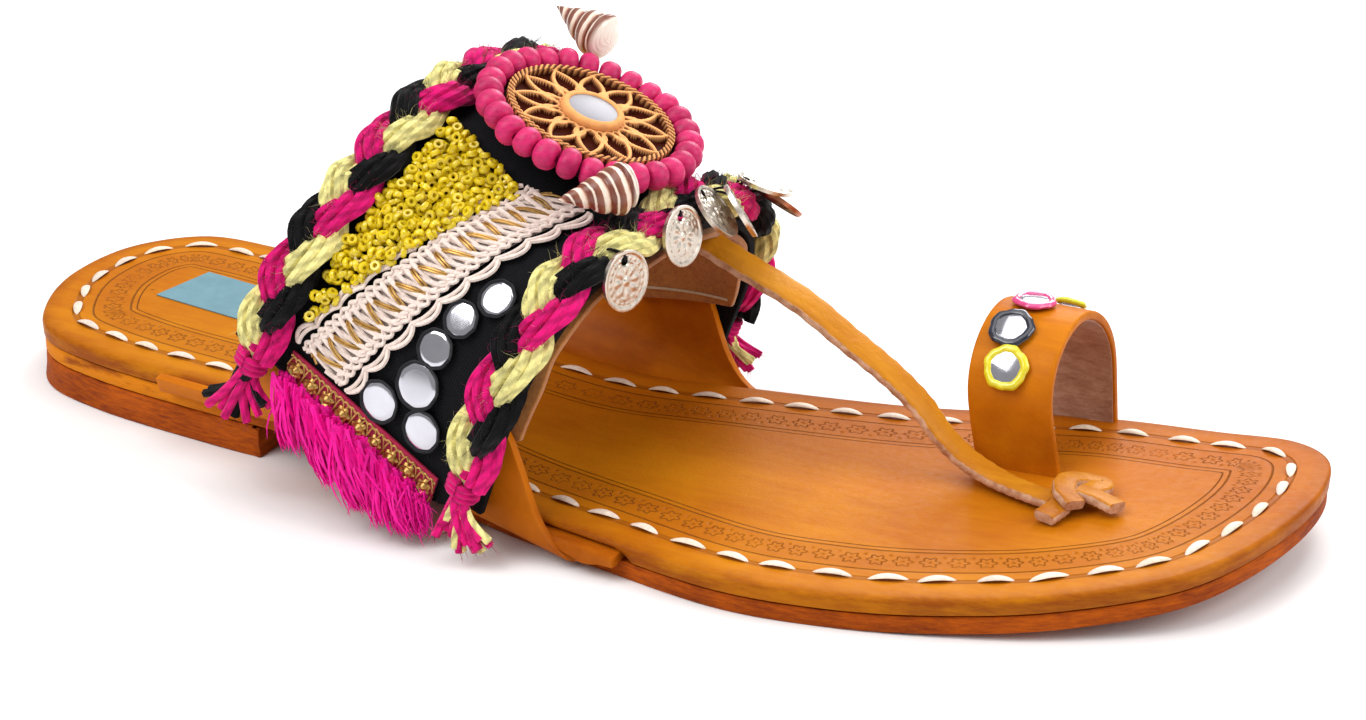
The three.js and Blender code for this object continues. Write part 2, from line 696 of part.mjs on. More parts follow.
// A whorled shell from its pointed end to its mouth
const WHORLS = [
  { along: 0, girth: 0.06 }, { along: 0.14, girth: 0.30 }, { along: 0.18, girth: 0.27 },
  { along: 0.33, girth: 0.55 }, { along: 0.37, girth: 0.50 }, { along: 0.56, girth: 0.82 },
  { along: 0.60, girth: 0.76 }, { along: 0.80, girth: 1.0 }, { along: 0.92, girth: 0.86 },
  { along: 1, girth: 0.34 },
];
const SHELLS = {
  front: { tip: [0.843, 0.354, 12.1], mouth: [0.999, 0.430, 12.1] },
  back: { tip: [-0.070, 0.661, 13.7], mouth: [0.314, 0.647, 12.3] },
};
const shellSides = 8;
function shellPiece(place) {
  const tip = band(...place.tip);
  const axis = band(...place.mouth).sub(tip).normalize();
  const path = WHORLS.map((row) => tip.clone().addScaledVector(axis, row.along * shellLength));
  const girth = (i) => shellRadius * WHORLS[i].girth;
  return sweep(path, (i) => oval(girth(i), girth(i), shellSides), () => V(0, 0, 1));
}

// Coins that hang from the front braid, each by the hole near its rim
const COINS = [
  { u: 1.154, v: 0.354, h: 0.9, facing: -14, pitch: 4 },
  { u: 1.166, v: 0.461, h: 3.9, facing: -8, pitch: 8 },
  { u: 1.171, v: 0.528, h: 5.9, facing: 16, pitch: 40 },
  { u: 1.208, v: 0.569, h: 5.8, facing: 36, pitch: 30 },
  { u: 1.106, v: 0.677, h: 8.8, facing: 50, pitch: 70 },
  { u: 1.155, v: 0.701, h: 7.2, facing: 60, pitch: 50 },
];
function coinPiece({ u, v, h, facing, pitch }) {
  const plate = (radius, half, sides) =>
    turned([[0, -half], [radius, -half], [radius, half], [0, half]], sides);
  const hole = plate(coinHoleRadius, coinThickness, 5).translate(0, coinRadius - coinHoleInset, 0);
  const geometry = shape(solid(plate(coinRadius, coinThickness / 2, 14)).subtract(solid(hole)));
  geometry.rotateX((90 - pitch) * degree);
  geometry.rotateZ((90 + facing) * degree);
  const place = band(u, v, h);
  return geometry.translate(place.x, place.y, place.z);
}

// Toe loop: a strap that comes up through a slot, arches over the toe and goes down again
const loopX = loopCentreAlong - heelBehindOrigin;
const LOOP_LEAN = [
  { part: 0, shift: 2.5 }, { part: 0.25, shift: -0.8 }, { part: 0.5, shift: -0.6 },
  { part: 0.75, shift: 1.6 }, { part: 1, shift: 3.2 },
];
const loopLean = LOOP_LEAN.map((row) => V(row.shift, 0, 0));
const slotPlay = 0.4;
const slotSpread = 1;
const legGap = clearance + 0.2;
const loopSteps = 18;
const loopStrips = 2;
function loopSurface(t, s, h) {
  const base = outsoleTop(loopX) + legGap;
  const legs = loopHeight - loopSpan / 2;
  const arc = Math.PI * loopSpan / 2;
  const depth = insoleThickness + legs;
  const run = t * (2 * depth + arc);
  const x = loopX + through(loopLean, t).x + mix(-0.5, 0.5, s) * loopWidth;
  const radius = loopSpan / 2 + h;
  const foot = outsoleTop(x) + legGap;
  if (run < depth) {
    return V(x, loopCentreAcross - radius, mix(foot, base + depth, run / depth));
  }
  if (run > depth + arc) {
    return V(x, loopCentreAcross + radius, mix(base + depth, foot, (run - depth - arc) / depth));
  }
  const turn = (run - depth) / arc * Math.PI;
  return V(x, loopCentreAcross - radius * Math.cos(turn), base + depth + radius * Math.sin(turn));
}
function loopPiece() {
  const at = (h) => (t, s) => loopSurface(t, s, h);
  return wall(grid(loopSteps, loopStrips, at(loopThickness / 2)),
    grid(loopSteps, loopStrips, at(-loopThickness / 2)));
}
function slotted(geometry) {
  let cut = solid(geometry);
  for (const [side, shift] of [[OUTER, loopLean[0].x], [INNER, loopLean.at(-1).x]]) {
    const slot = new THREE.BoxGeometry(loopWidth + 2 * (slotPlay + slotSpread / 2),
      loopThickness + 2 * slotPlay, 4 * insoleThickness);
    slot.translate(loopX + shift - slotPlay, loopCentreAcross + side * loopSpan / 2, insoleTop(loopX));
    cut = cut.subtract(solid(slot));
  }
  return shape(cut);
}

// Round mirrors with a raised painted rim, on the outer face of the toe loop
const toeMirrorFrame = 1.2;
const toeMirrorHeight = 1.1;
const TOE_MIRRORS = [
  { part: 0.300, share: 0.50, radius: 4.0 }, { part: 0.395, share: 0.42, radius: 4.0 },
  { part: 0.508, share: 0.45, radius: 3.8 }, { part: 0.612, share: 0.62, radius: 3.0 },
];
function toeMirrorPiece({ part, share, radius }) {
  const low = loopThickness / 2 + 2 * clearance;
  const centre = loopSurface(part, share, low);
  const out = loopSurface(part, share, low + 1).sub(centre).normalize();
  const along = V(1, 0, 0).addScaledVector(out, -out.x).normalize();
  const place = new THREE.Matrix4().makeBasis(along, out.clone().cross(along), out).setPosition(centre);
  return framedMirror(radius - toeMirrorFrame, toeMirrorFrame, toeMirrorHeight, 10).applyMatrix4(place);
}

// Thong: a leather lace from under the band down to the foot of the toe loop
const THONG_ROUTE = [
  { along: 0.5244, across: 0.1106, up: 0.6079 }, { along: 0.5508, across: 0.0979, up: 0.5776 },
  { along: 0.5846, across: 0.0809, up: 0.5395 }, { along: 0.6335, across: 0.0702, up: 0.4789 },
  { along: 0.6729, across: 0.0638, up: 0.4026 }, { along: 0.7038, across: 0.0649, up: 0.3368 },
  { along: 0.7278, across: 0.0660, up: 0.2711 }, { along: 0.7444, across: 0.0660, up: 0.2053 },
  { along: 0.7632, across: 0.0670, up: 0.1526 }, { along: 0.7876, across: 0.0532, up: 0.1263 },
  { along: 0.8083, across: 0.0319, up: 0.1237 }, { along: 0.8256, across: 0.0128, up: 0.1276 },
];
const thongSection = oval(thongWidth / 2, thongThickness / 2);
function thongPiece() {
  const path = new THREE.CatmullRomCurve3(rail(THONG_ROUTE)).getSpacedPoints(18);
  return sweep(path, () => thongSection, () => V(0.5, -0.25, 1));
}

// Knot: the lace turned once round itself, with two cut ends
// Each row gives shares of foot length and ball width, and the height over the insole.
const KNOT_TURN = [
  [0.8308, 0.0170, 1.8], [0.8444, 0.0362, 2.2], [0.8579, 0.0681, 2.2],
  [0.8594, 0.1021, 1.9], [0.8466, 0.0979, 2.6], [0.8406, 0.0532, 4.0],
  [0.8444, 0.0043, 4.0], [0.8556, -0.0234, 2.8],
];
const KNOT_ENDS = [
  [[0.8459, 0.0106, 2.4], [0.8436, -0.0277, 1.9], [0.8398, -0.0681, 1.6]],
  [[0.8496, 0.0372, 3.0], [0.8665, 0.0277, 2.4], [0.8816, 0.0085, 1.9]],
];
function knotPiece() {
  const strip = (points, steps) => {
    const path = new THREE.CatmullRomCurve3(points.map(([along, across, up]) => {
      const x = along * footLength - heelBehindOrigin;
      return V(x, across * ballWidth, insoleTop(x) + up);
    })).getSpacedPoints(steps);
    return sweep(path, () => thongSection, () => V(0.1, 0.1, 1));
  };
  return joined([strip(KNOT_TURN, 9), ...KNOT_ENDS.map((points) => strip(points, 3))]);
}

add("outsole", soleLayer({
  inset: outsoleInset, bottom: floorGap, top: outsoleTop,
}), "brown");
add("insole", slotted(soleLayer({
  inset: 0, bottom: insoleBottom, top: insoleTop, rebate: earRebate,
})), "tan");
add("heel_lift", soleLayer({
  inset: outsoleInset, to: heelBreast, bottom: () => 0, top: () => heelLiftHeight, flare: heelFlare,
}), "brown");
add("instep_band", bandWallPiece(), "cloth");
add("band_lining", liningPiece(), "suede");
add("ear_outer", earPiece(OUTER), "tan");
add("ear_inner", earPiece(INNER), "tan");
add("braid_back", braidPiece((v) => pushed(backPush, v)), "braid");
add("braid_front", braidPiece((v) => 1 + pushed(frontPush, v)), "braid");
for (const [side, place] of [[OUTER, "outer"], [INNER, "inner"]]) {
  add(`lace_${place}`, lacePiece(side), "lace");
  add(`seed_beads_${place}`, seedPiece(side), "yellow");
  add(`gota_${place}`, gotaPiece(side), "gold");
  add(`fur_${place}`, furPiece(side), "fur");
  add(`tassel_back_${place}`, tasselPiece(side, 0, 1, 1), "braid");
  add(`tassel_front_${place}`, tasselPiece(side, 1, 0.7, 0.75), "braid");
  BAND_MIRRORS.forEach((row, i) => add(`band_mirror_${place}_${i + 1}`, mirrorPiece(row, side), "mirror"));
}
add("medallion", medallionPiece(), "wood");
add("medallion_mirror", centreMirrorPiece(), "mirror");
add("bead_ring", beadRingPiece(), "bead");
add("shell_front", shellPiece(SHELLS.front), "shell");
add("shell_back", shellPiece(SHELLS.back), "shell");
COINS.forEach((row, i) => add(`coin_${i + 1}`, coinPiece(row), "coin"));
add("toe_loop", loopPiece(), "tan");
TOE_MIRRORS.forEach((row, i) => add(`toe_mirror_${i + 1}`, toeMirrorPiece(row), "mirror"));
add("toe_thong", thongPiece(), "tan");
add("thong_knot", knotPiece(), "tan");

export default sandal;
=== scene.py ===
# %% [markdown]
# # A kolhapuri sandal
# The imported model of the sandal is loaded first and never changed. It holds the true sizes, so
# every new piece is laid in the same place, a little finer and softer than the solid it stands for.

# %% The frame
import bpy
import math
import random
import numpy as np
from mathutils import Matrix, Vector


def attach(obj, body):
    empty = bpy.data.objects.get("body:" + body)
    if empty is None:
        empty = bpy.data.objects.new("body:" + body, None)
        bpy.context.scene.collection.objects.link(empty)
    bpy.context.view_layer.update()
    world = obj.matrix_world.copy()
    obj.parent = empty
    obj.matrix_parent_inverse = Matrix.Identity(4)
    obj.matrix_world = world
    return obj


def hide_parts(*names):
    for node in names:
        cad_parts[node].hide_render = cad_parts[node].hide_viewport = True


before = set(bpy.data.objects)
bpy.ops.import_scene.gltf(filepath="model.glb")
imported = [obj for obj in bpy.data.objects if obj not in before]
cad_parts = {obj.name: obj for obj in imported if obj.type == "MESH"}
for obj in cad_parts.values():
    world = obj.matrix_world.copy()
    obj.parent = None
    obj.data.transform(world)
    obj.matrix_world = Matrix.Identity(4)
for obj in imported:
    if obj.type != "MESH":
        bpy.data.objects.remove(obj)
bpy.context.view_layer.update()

MM, TAU = 0.001, 2 * np.pi
chance = random.Random(7)
print("nodes:", len(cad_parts))

# %% [markdown]
# ## Camera and light
# The camera looks at the sandal from its outer side, a little from above. It is placed by its
# azimuth, elevation and distance from a point between the band and the toe loop. The light of a
# product photo is soft, so wide area lamps and a bright world do most of the work.

# %% Camera
azimuth, elevation, roll = math.radians(27.607), math.radians(23.305), math.radians(0.205)
aim = Vector((0.110746, 0.004840, 0.020))
distance = 0.531445
back = Vector((math.sin(azimuth) * math.cos(elevation), -math.cos(azimuth) * math.cos(elevation),
               math.sin(elevation)))
level = Vector((math.cos(azimuth), math.sin(azimuth), 0))
lift = back.cross(level)
right = level * math.cos(roll) + lift * math.sin(roll)
up = lift * math.cos(roll) - level * math.sin(roll)
bpy.ops.object.camera_add(location=aim + back * distance)
camera = bpy.context.object
camera.rotation_euler = Matrix((right, up, back)).transposed().to_euler()
camera.data.sensor_width, camera.data.lens, camera.data.clip_start = 36, 72.8, 0.01
bpy.context.scene.camera = camera
print("camera at", [round(x, 3) for x in camera.location])

# %% Lamps and world
LAMPS = [  # name, place, size and power
    ("key", (-0.25, -0.55, 0.75), 0.6, 5.6), ("side", (0.75, 0.10, 0.45), 0.5, 3.0),
    ("behind", (0.05, 0.80, 0.55), 0.55, 6.4), ("over", (0.10, -0.02, 0.95), 0.8, 4.0),
]
for name, place, size, power in LAMPS:
    bpy.ops.object.light_add(type="AREA", location=place)
    lamp = bpy.context.object
    lamp.name = name
    lamp.data.size, lamp.data.energy = size, power
    lamp.rotation_euler = (Vector(place) - Vector((0.1, 0, 0.02))).to_track_quat("Z", "Y").to_euler()
world = bpy.context.scene.world or bpy.data.worlds.new("world")
bpy.context.scene.world = world
world.use_nodes = True
sky = world.node_tree.nodes["Background"].inputs
sky["Color"].default_value, sky["Strength"].default_value = (1, 1, 1, 1), 0.42
bpy.context.scene.view_settings.view_transform = "Standard"
print("lamps:", len(LAMPS))

# %% [markdown]
# ## Helpers for finishes
# A finish is one Principled shader whose colour, roughness and bump come from small node chains.
# `Finish` keeps those chains short to write: each input takes a number or another node's output.

# %% Finish helper
def is_output(value):
    return isinstance(value, bpy.types.NodeSocket)


class Finish:
    def __init__(self, name, **constants):
        self.material = bpy.data.materials.new(name)
        self.material.use_nodes = True
        self.nodes = self.material.node_tree.nodes
        self.links = self.material.node_tree.links
        self.shader = self.nodes["Principled BSDF"]
        for socket, value in constants.items():
            self.shader.inputs[socket.replace("_", " ")].default_value = value

    def node(self, kind, inputs=(), **settings):
        node = self.nodes.new("ShaderNode" + kind)
        for key, value in settings.items():
            setattr(node, key, value)
        for key, value in dict(inputs).items():
            if is_output(value):
                self.links.new(value, node.inputs[key])
            else:
                node.inputs[key].default_value = value
        return node

    def object_place(self):
        return self.node("TexCoord").outputs["Object"]

    def uv(self):
        return self.node("UVMap", uv_map="UVMap").outputs["UV"]

    def place(self, scale=(1, 1, 1)):
        return self.node("Mapping", {"Vector": self.object_place(), "Scale": scale}).outputs[0]

    def split(self, vector):
        return self.node("SeparateXYZ", {0: vector}).outputs

    def noise(self, scale, vector=None, detail=4, rough=0.6):
        return self.node("TexNoise", {"Vector": vector or self.place(), "Scale": scale, "Detail": detail,
                                      "Roughness": rough}).outputs["Fac"]

    def ramp(self, value, *stops):
        node = self.node("ValToRGB", {"Fac": value})
        while len(node.color_ramp.elements) < len(stops):
            node.color_ramp.elements.new(0.5)
        for element, (position, color) in zip(node.color_ramp.elements, stops):
            element.position = position
            element.color = (*color, 1) if hasattr(color, "__len__") else (color, color, color, 1)
        return node.outputs["Color"]

    def math(self, operation, a, b=0.0, c=0.0):
        return self.node("Math", {0: a, 1: b, 2: c}, operation=operation).outputs[0]

    def plus(self, a, b):
        return self.math("ADD", a, b)

    def minus(self, a, b):
        return self.math("SUBTRACT", a, b)

    def times(self, a, b):
        return self.math("MULTIPLY", a, b)

    def weighed(self, a, share_a, b, share_b):
        return self.math("MULTIPLY_ADD", a, share_a, self.times(b, share_b))

    def clamp(self, value):
        return self.node("Clamp", {0: value}).outputs[0]

    def peak(self, value, width):
        """1 where the value is 0, falling to 0 at that width on both sides."""
        return self.minus(1.0, self.math("DIVIDE", self.math("ABSOLUTE", value), width))

    def mixed(self, share, a, b, blend="MIX"):
        a, b = (value if is_output(value) else (*value, 1) for value in (a, b))
        return self.node("Mix", {0: share, 6: a, 7: b}, data_type="RGBA", blend_type=blend).outputs[2]

    def set(self, **outputs):
        for socket, value in outputs.items():
            self.links.new(value, self.shader.inputs[socket.replace("_", " ")])

    def bump(self, height, depth, strength=1.0):
        node = self.node("Bump", {"Height": height, "Distance": depth * MM, "Strength": strength})
        before = self.shader.inputs["Normal"].links
        if before:
            self.links.new(before[0].from_socket, node.inputs["Normal"])
        self.links.new(node.outputs[0], self.shader.inputs["Normal"])


# %% [markdown]
# ## Helpers for shapes
# Most of the sandal is made of strips, walls and tubes that follow a surface. All of them start as
# a grid primitive, whose points are laid where a small function of s (across) and t (along) says,
# in millimetres. A grid can be welded into a tube, walled with Solidify, or copied many times.

# %% Grid, weld and wall
def unit(rows):
    return rows / np.maximum(np.linalg.norm(rows, axis=-1, keepdims=True), 1e-9)


def xyz(*parts):
    return np.column_stack(parts)


def smooth(low, high, x):
    t = np.clip((x - low) / (high - low), 0, 1)
    return t * t * (3 - 2 * t)


def only(*pieces):
    bpy.ops.object.select_all(action="DESELECT")
    for piece in pieces:
        piece.select_set(True)
    bpy.context.view_layer.objects.active = pieces[0]


def read(items, key, width):
    values = np.empty(len(items) * width)
    items.foreach_get(key, values)
    return values.reshape(-1, width)


def laid_grid(name, rows, columns, at):
    bpy.ops.mesh.primitive_grid_add(x_subdivisions=columns, y_subdivisions=rows, size=1)
    piece = bpy.context.object
    piece.name = piece.data.name = name
    flat = read(piece.data.vertices, "co", 3)
    s = np.round((flat[:, 0] + 0.5) * columns) / columns
    t = np.round((flat[:, 1] + 0.5) * rows) / rows
    piece.data.vertices.foreach_set("co", (at(s, t) * MM).ravel())
    piece.data.update()
    return piece


def weld(piece, caps=True):
    only(piece)
    bpy.ops.object.mode_set(mode="EDIT")
    bpy.ops.mesh.select_mode(type="VERT")
    bpy.ops.mesh.select_all(action="SELECT")
    bpy.ops.mesh.remove_doubles(threshold=1e-6)
    if caps:
        bpy.ops.mesh.fill_holes(sides=0)
    bpy.ops.mesh.select_all(action="SELECT")
    bpy.ops.mesh.normals_make_consistent(inside=False)
    bpy.ops.object.mode_set(mode="OBJECT")
    return piece


def apply_modifier(piece, kind, **settings):
    only(piece)
    modifier = piece.modifiers.new(kind.lower(), kind)
    for key, value in settings.items():
        setattr(modifier, key, value)
    bpy.ops.object.modifier_apply(modifier=modifier.name)


def walled(piece, thickness, bevel=0.0):
    apply_modifier(piece, "SOLIDIFY", thickness=thickness * MM, offset=0)
    if bevel:
        apply_modifier(piece, "BEVEL", width=bevel * MM, segments=2, limit_method="ANGLE",
                       angle_limit=math.radians(50))
    return weld(piece, caps=False)


# %% Tubes and lathed shapes
def axes_of(path, upward):
    """Side, upward and forward axes at each point of a path."""
    along = unit(np.gradient(path, axis=0))
    over = np.broadcast_to(np.asarray(upward, float), path.shape)
    over = unit(over - along * np.sum(over * along, axis=1, keepdims=True))
    return np.cross(along, over), over, along


def swept(name, path, upward, sides, section):
    """A closed tube along the path. The section gives x and y for a step and an angle."""
    side, over, _ = axes_of(path, upward)
    steps = len(path) - 1

    def at(s, t):
        i = np.rint(t * steps).astype(int)
        x, y = section(i, TAU * s)
        return path[i] + side[i] * x[:, None] + over[i] * y[:, None]
    return weld(laid_grid(name, steps, sides, at))


def tube(name, path, radius, upward, sides=6, squash=1.0):
    wide = np.broadcast_to(radius, len(path))
    return swept(name, path, upward, sides,
                 lambda i, a: (wide[i] * np.cos(a), wide[i] * squash * np.sin(a)))


def lathe(name, profile, sides, sway=lambda a, r: 1):
    """The profile is a list of radius and height. Sway makes the radius change with the angle."""
    rows = np.array(profile, float)

    def at(s, t):
        r, h = rows[np.rint(t * (len(rows) - 1)).astype(int)].T
        r = r * sway(TAU * s, r)
        return xyz(r * np.cos(TAU * s), r * np.sin(TAU * s), h)
    return weld(laid_grid(name, len(rows) - 1, sides, at), caps=False)


def ring_master(name, radius, thick, sides, rows, flat, sway=lambda a: 1):
    def at(s, t):
        a, b = TAU * s, TAU * t
        r = radius + thick * np.cos(b)
        return xyz(r * np.cos(a), r * np.sin(a), thick * flat * np.sin(b)) * xyz(sway(a) + 0 * a)
    return weld(laid_grid(name, rows, sides, at), caps=False)


def bow(a, b, c, t):
    return a * (1 - t) ** 2 + b * 2 * t * (1 - t) + c * t ** 2


def length_of(path):
    return np.linalg.norm(np.diff(path, axis=0), axis=1).sum()


# %% Joins, dyes and copies
def join(name, parts):
    only(*parts)
    if len(parts) > 1:
        bpy.ops.object.join()
    parts[0].name = parts[0].data.name = name
    return parts[0]


def dye_points(mesh, colors):
    layer = mesh.color_attributes.new("dye", "FLOAT_COLOR", "POINT")
    layer.data.foreach_set("color", xyz(colors, np.ones(len(colors))).ravel())


def tinted(piece, color):
    dye_points(piece.data, np.tile(color, (len(piece.data.vertices), 1)))
    return piece


def shaded(color, low=0.75, high=1.1):
    k = chance.uniform(low, high)
    return tuple(min(1.0, c * k) for c in color)


def jitter(reach):
    return np.array([chance.uniform(-reach, reach) for _ in range(3)])


def axes_to(direction, roll, scale=1.0):
    x = unit(np.asarray(direction, float))
    helper = np.array([0, 0, 1.0]) if abs(x[2]) < 0.8 else np.array([1.0, 0, 0])
    y = unit(np.cross(helper, x))
    z = np.cross(x, y)
    c, s = math.cos(roll), math.sin(roll)
    return np.array([x, y * c + z * s, z * c - y * s]) * scale


def copies(name, master, places, dyes=None):
    """One mesh that repeats the master at each place, given as an origin and three axes in mm."""
    data = master.data
    points = read(data.vertices, "co", 3)
    count = len(points)
    faces = [list(face.vertices) for face in data.polygons]
    spots = np.array([place[0] for place in places], float) * MM
    turns = np.array([place[1] for place in places], float)
    moved = np.einsum("nk,mkj->mnj", points, turns) + spots[:, None, :]
    every = [[v + k * count for v in face] for k in range(len(places)) for face in faces]
    mesh = bpy.data.meshes.new(name)
    mesh.from_pydata(moved.reshape(-1, 3).tolist(), [], every)
    if data.uv_layers:
        layer = read(data.uv_layers[0].data, "uv", 2).ravel()
        mesh.uv_layers.new(name="UVMap").data.foreach_set("uv", np.tile(layer, len(places)))
    piece = bpy.data.objects.new(name, mesh)
    bpy.context.collection.objects.link(piece)
    if dyes is not None:
        dye_points(mesh, np.repeat(np.asarray(dyes, float), count, axis=0))
    bpy.data.objects.remove(master)
    return piece


def stretched(piece, wide, long):
    """The piece with its UV map in millimetres."""
    layer = piece.data.uv_layers[0].data
    layer.foreach_set("uv", (read(layer, "uv", 2) * (wide, long)).ravel())
    return piece


def done(piece, finish, slot, *nodes, angle=45):
    piece.data.materials.clear()
    piece.data.materials.append(finish.material)
    only(piece)
    bpy.ops.object.shade_smooth_by_angle(angle=math.radians(angle))
    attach(piece, "root")
    if nodes:
        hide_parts(*nodes)
    print(piece.name, sum(len(face.vertices) - 2 for face in piece.data.polygons), "triangles")


# %% [markdown]
# ## The sandal's own sizes
# These are the sizes the solids were drawn from: the outline of the sole, the heights of its
# layers, and the two rails on which the braids lie. They are repeated here because the visual
# pieces follow the same curves. All of them are in millimetres until a mesh is made.

# %% Sole outline and heights
FOOT, BALL, INSTEP, HEEL_BACK = 266, 94, 76, 34
LAYER, GAP, LIFT = 3.3, 0.3, 6.4
CLOTH, LINING, EAR, LAP = 1.9, 1.5, 1.8, 0.75
OUTLINE = np.array([
    (0.000, -0.011), (0.004, 0.195), (0.044, 0.331), (0.112, 0.348), (0.225, 0.302), (0.337, 0.228),
    (0.453, 0.224), (0.567, 0.285), (0.681, 0.357), (0.752, 0.428), (0.826, 0.479), (0.902, 0.473),
    (0.959, 0.450), (0.991, 0.362), (1.000, 0.143), (0.962, -0.177), (0.893, -0.334), (0.819, -0.428),
    (0.750, -0.488), (0.676, -0.519), (0.562, -0.476), (0.450, -0.422), (0.338, -0.383),
    (0.225, -0.371), (0.113, -0.340), (0.056, -0.289), (0.024, -0.183)])
RIM_POINTS = 420


def closed_curve(points, samples):
    """A smooth closed curve through the points, with tight turns where the points stand close."""
    count = len(points)
    rows = []
    for k in range(samples):
        place = count * k / samples
        i = int(place)
        f = place - i
        p0, p1, p2, p3 = (points[(i + d) % count] for d in (-1, 0, 1, 2))
        d0, d1, d2 = (max(np.linalg.norm(a - b) ** 0.5, 1e-4) for a, b in ((p0, p1), (p1, p2), (p2, p3)))
        m1 = ((p1 - p0) / d0 - (p2 - p0) / (d0 + d1) + (p2 - p1) / d1) * d1
        m2 = ((p2 - p1) / d1 - (p3 - p1) / (d1 + d2) + (p3 - p2) / d2) * d1
        rows.append((2 * f**3 - 3 * f * f + 1) * p1 + (f**3 - 2 * f * f + f) * m1
                    + (3 * f * f - 2 * f**3) * p2 + (f**3 - f * f) * m2)
    return np.array(rows)


def arc_of(loop):
    return np.concatenate([[0], np.cumsum(np.linalg.norm(np.roll(loop, -1, axis=0) - loop, axis=1))])


def along_of(loop):
    return unit(np.roll(loop, -1, axis=0) - np.roll(loop, 1, axis=0))


def inward(along):
    return np.stack([along[:, 1], -along[:, 0]], axis=1)


def inset(loop, depth):
    return loop + inward(along_of(loop)) * depth


RIM = closed_curve(OUTLINE * (FOOT, BALL) - (HEEL_BACK, 0), RIM_POINTS)
ARC = arc_of(RIM)
RIM_LENGTH = ARC[-1]


def floor_gap(x):
    return LIFT * (1 - smooth(39, 103, x)) + 7 * (np.maximum(0, (x - 161) / 71)) ** 2


def outsole_top(x):
    return floor_gap(x) + LAYER


def insole_top(x):
    return outsole_top(x) + GAP + LAYER


print("rim", round(RIM_LENGTH), "mm long")

# %% The band's surface
BACK_RAIL = np.array([
    (0.3113, -0.530, 0.349), (0.3320, -0.503, 0.539), (0.3534, -0.424, 0.708), (0.3714, -0.307, 0.838),
    (0.3876, -0.170, 0.938), (0.3981, -0.011, 0.965), (0.4015, 0.198, 0.930), (0.3816, 0.349, 0.790),
    (0.3519, 0.435, 0.595), (0.3233, 0.441, 0.355)]) * (FOOT, BALL, INSTEP) - (HEEL_BACK, 0, 0)
FRONT_RAIL = np.array([
    (0.4898, -0.564, 0.164), (0.5079, -0.547, 0.374), (0.5282, -0.489, 0.567), (0.5451, -0.362, 0.704),
    (0.5541, -0.188, 0.738), (0.5586, -0.011, 0.734), (0.5586, 0.163, 0.676), (0.5519, 0.315, 0.562),
    (0.5361, 0.394, 0.380), (0.5150, 0.394, 0.171)]) * (FOOT, BALL, INSTEP) - (HEEL_BACK, 0, 0)
PITCH, SEAT, CROWN = 48, 3.4, 5
BACK_PUSH, FRONT_PUSH = -0.8, 1.5
OUTER, INNER = -1, 1
SIDES = ((OUTER, "outer"), (INNER, "inner"))


def through(rows, t):
    """A smooth run through a row of points, straight beyond its ends, for an array of places."""
    last = len(rows) - 1
    place = np.asarray(t, float) * last
    i = np.clip(np.floor(place), 0, last - 1).astype(int)
    f = np.clip(place - i, 0, 1)[:, None]
    full = np.vstack([2 * rows[0] - rows[1], rows, 2 * rows[-1] - rows[-2]])
    a, b, c, d = (full[i + k] for k in range(4))
    sb, sc = (c - a) / 2, (d - b) / 2
    point = (b * (1 - 3 * f**2 + 2 * f**3) + c * (3 * f**2 - 2 * f**3)
             + sb * (f - 2 * f**2 + f**3) + sc * (f**3 - f**2))
    beyond = (place - i)[:, None] - f
    return point + np.where(beyond < 0, sb, sc) * beyond


def rows_of(*values):
    return np.broadcast_arrays(*(np.atleast_1d(np.asarray(q, float)) for q in values))


def rails(u, v):
    u = np.asarray(u, float)[:, None]
    return through(BACK_RAIL, v) * (1 - u) + through(FRONT_RAIL, v) * u


def band_normal(u, v, e=0.001):
    u, v = rows_of(u, v)
    return unit(np.cross(rails(u + e, v) - rails(u - e, v), rails(u, v + e) - rails(u, v - e)))


def band(u, v, h):
    """A point over the cloth: u 0 to 1 from the back braid to the front one, v from hem to hem."""
    u, v, h = rows_of(u, v, h)
    crown = CROWN * np.sin(np.pi * np.clip(u, 0, 1)) * smooth(.36, .48, v) * (1 - smooth(.59, .71, v))
    return rails(u, v) + band_normal(u, v) * (h + crown - SEAT)[:, None]


def pushed(push, v):
    return push / PITCH * smooth(.30, .44, v) * (1 - smooth(.58, .72, v))


def hem_drop(u):
    return 0.012 - 0.062 * u


def sided(side, v):
    return v if side == OUTER else 1 - v


print("instep at", band(0.5, 0.5, 0).round(1))

# %% [markdown]
# ## Leather
# The sole and the straps are vegetable tanned leather, rubbed to a gloss on top and left raw on
# the cut edges. Broad noise drifts the tan towards a darker brown, fine noise adds pores, and the
# roughness follows the same noise.

# %% Tan leather
def tan_leather(name, light=(0.60, 0.185, 0.003), deep=(0.34, 0.075, 0.002), gloss=0.48, coat=0.05):
    skin = Finish(name, Coat_Weight=coat, Coat_Roughness=0.25, Specular_IOR_Level=0.06)
    broad = skin.noise(28, detail=6, rough=0.55)
    streak = skin.noise(90, skin.place((1, 5, 1)), detail=5)
    skin.tone = skin.ramp(skin.weighed(broad, 0.7, streak, 0.3), (0.34, deep), (0.60, light))
    pores = skin.node("TexVoronoi", {"Vector": skin.place(), "Scale": 1500}).outputs["Distance"]
    grain = skin.noise(700, detail=5)
    skin.bump(pores, 0.05, 0.5)
    skin.bump(grain, 0.09, 0.6)
    skin.set(Base_Color=skin.tone,
             Roughness=skin.ramp(grain, (0.3, gloss - 0.08), (0.7, gloss + 0.12)))
    return skin


strap_leather = tan_leather("strap_leather")
ear_leather = tan_leather("ear_leather", light=(0.55, 0.150, 0.003), deep=(0.29, 0.058, 0.002), gloss=0.44)

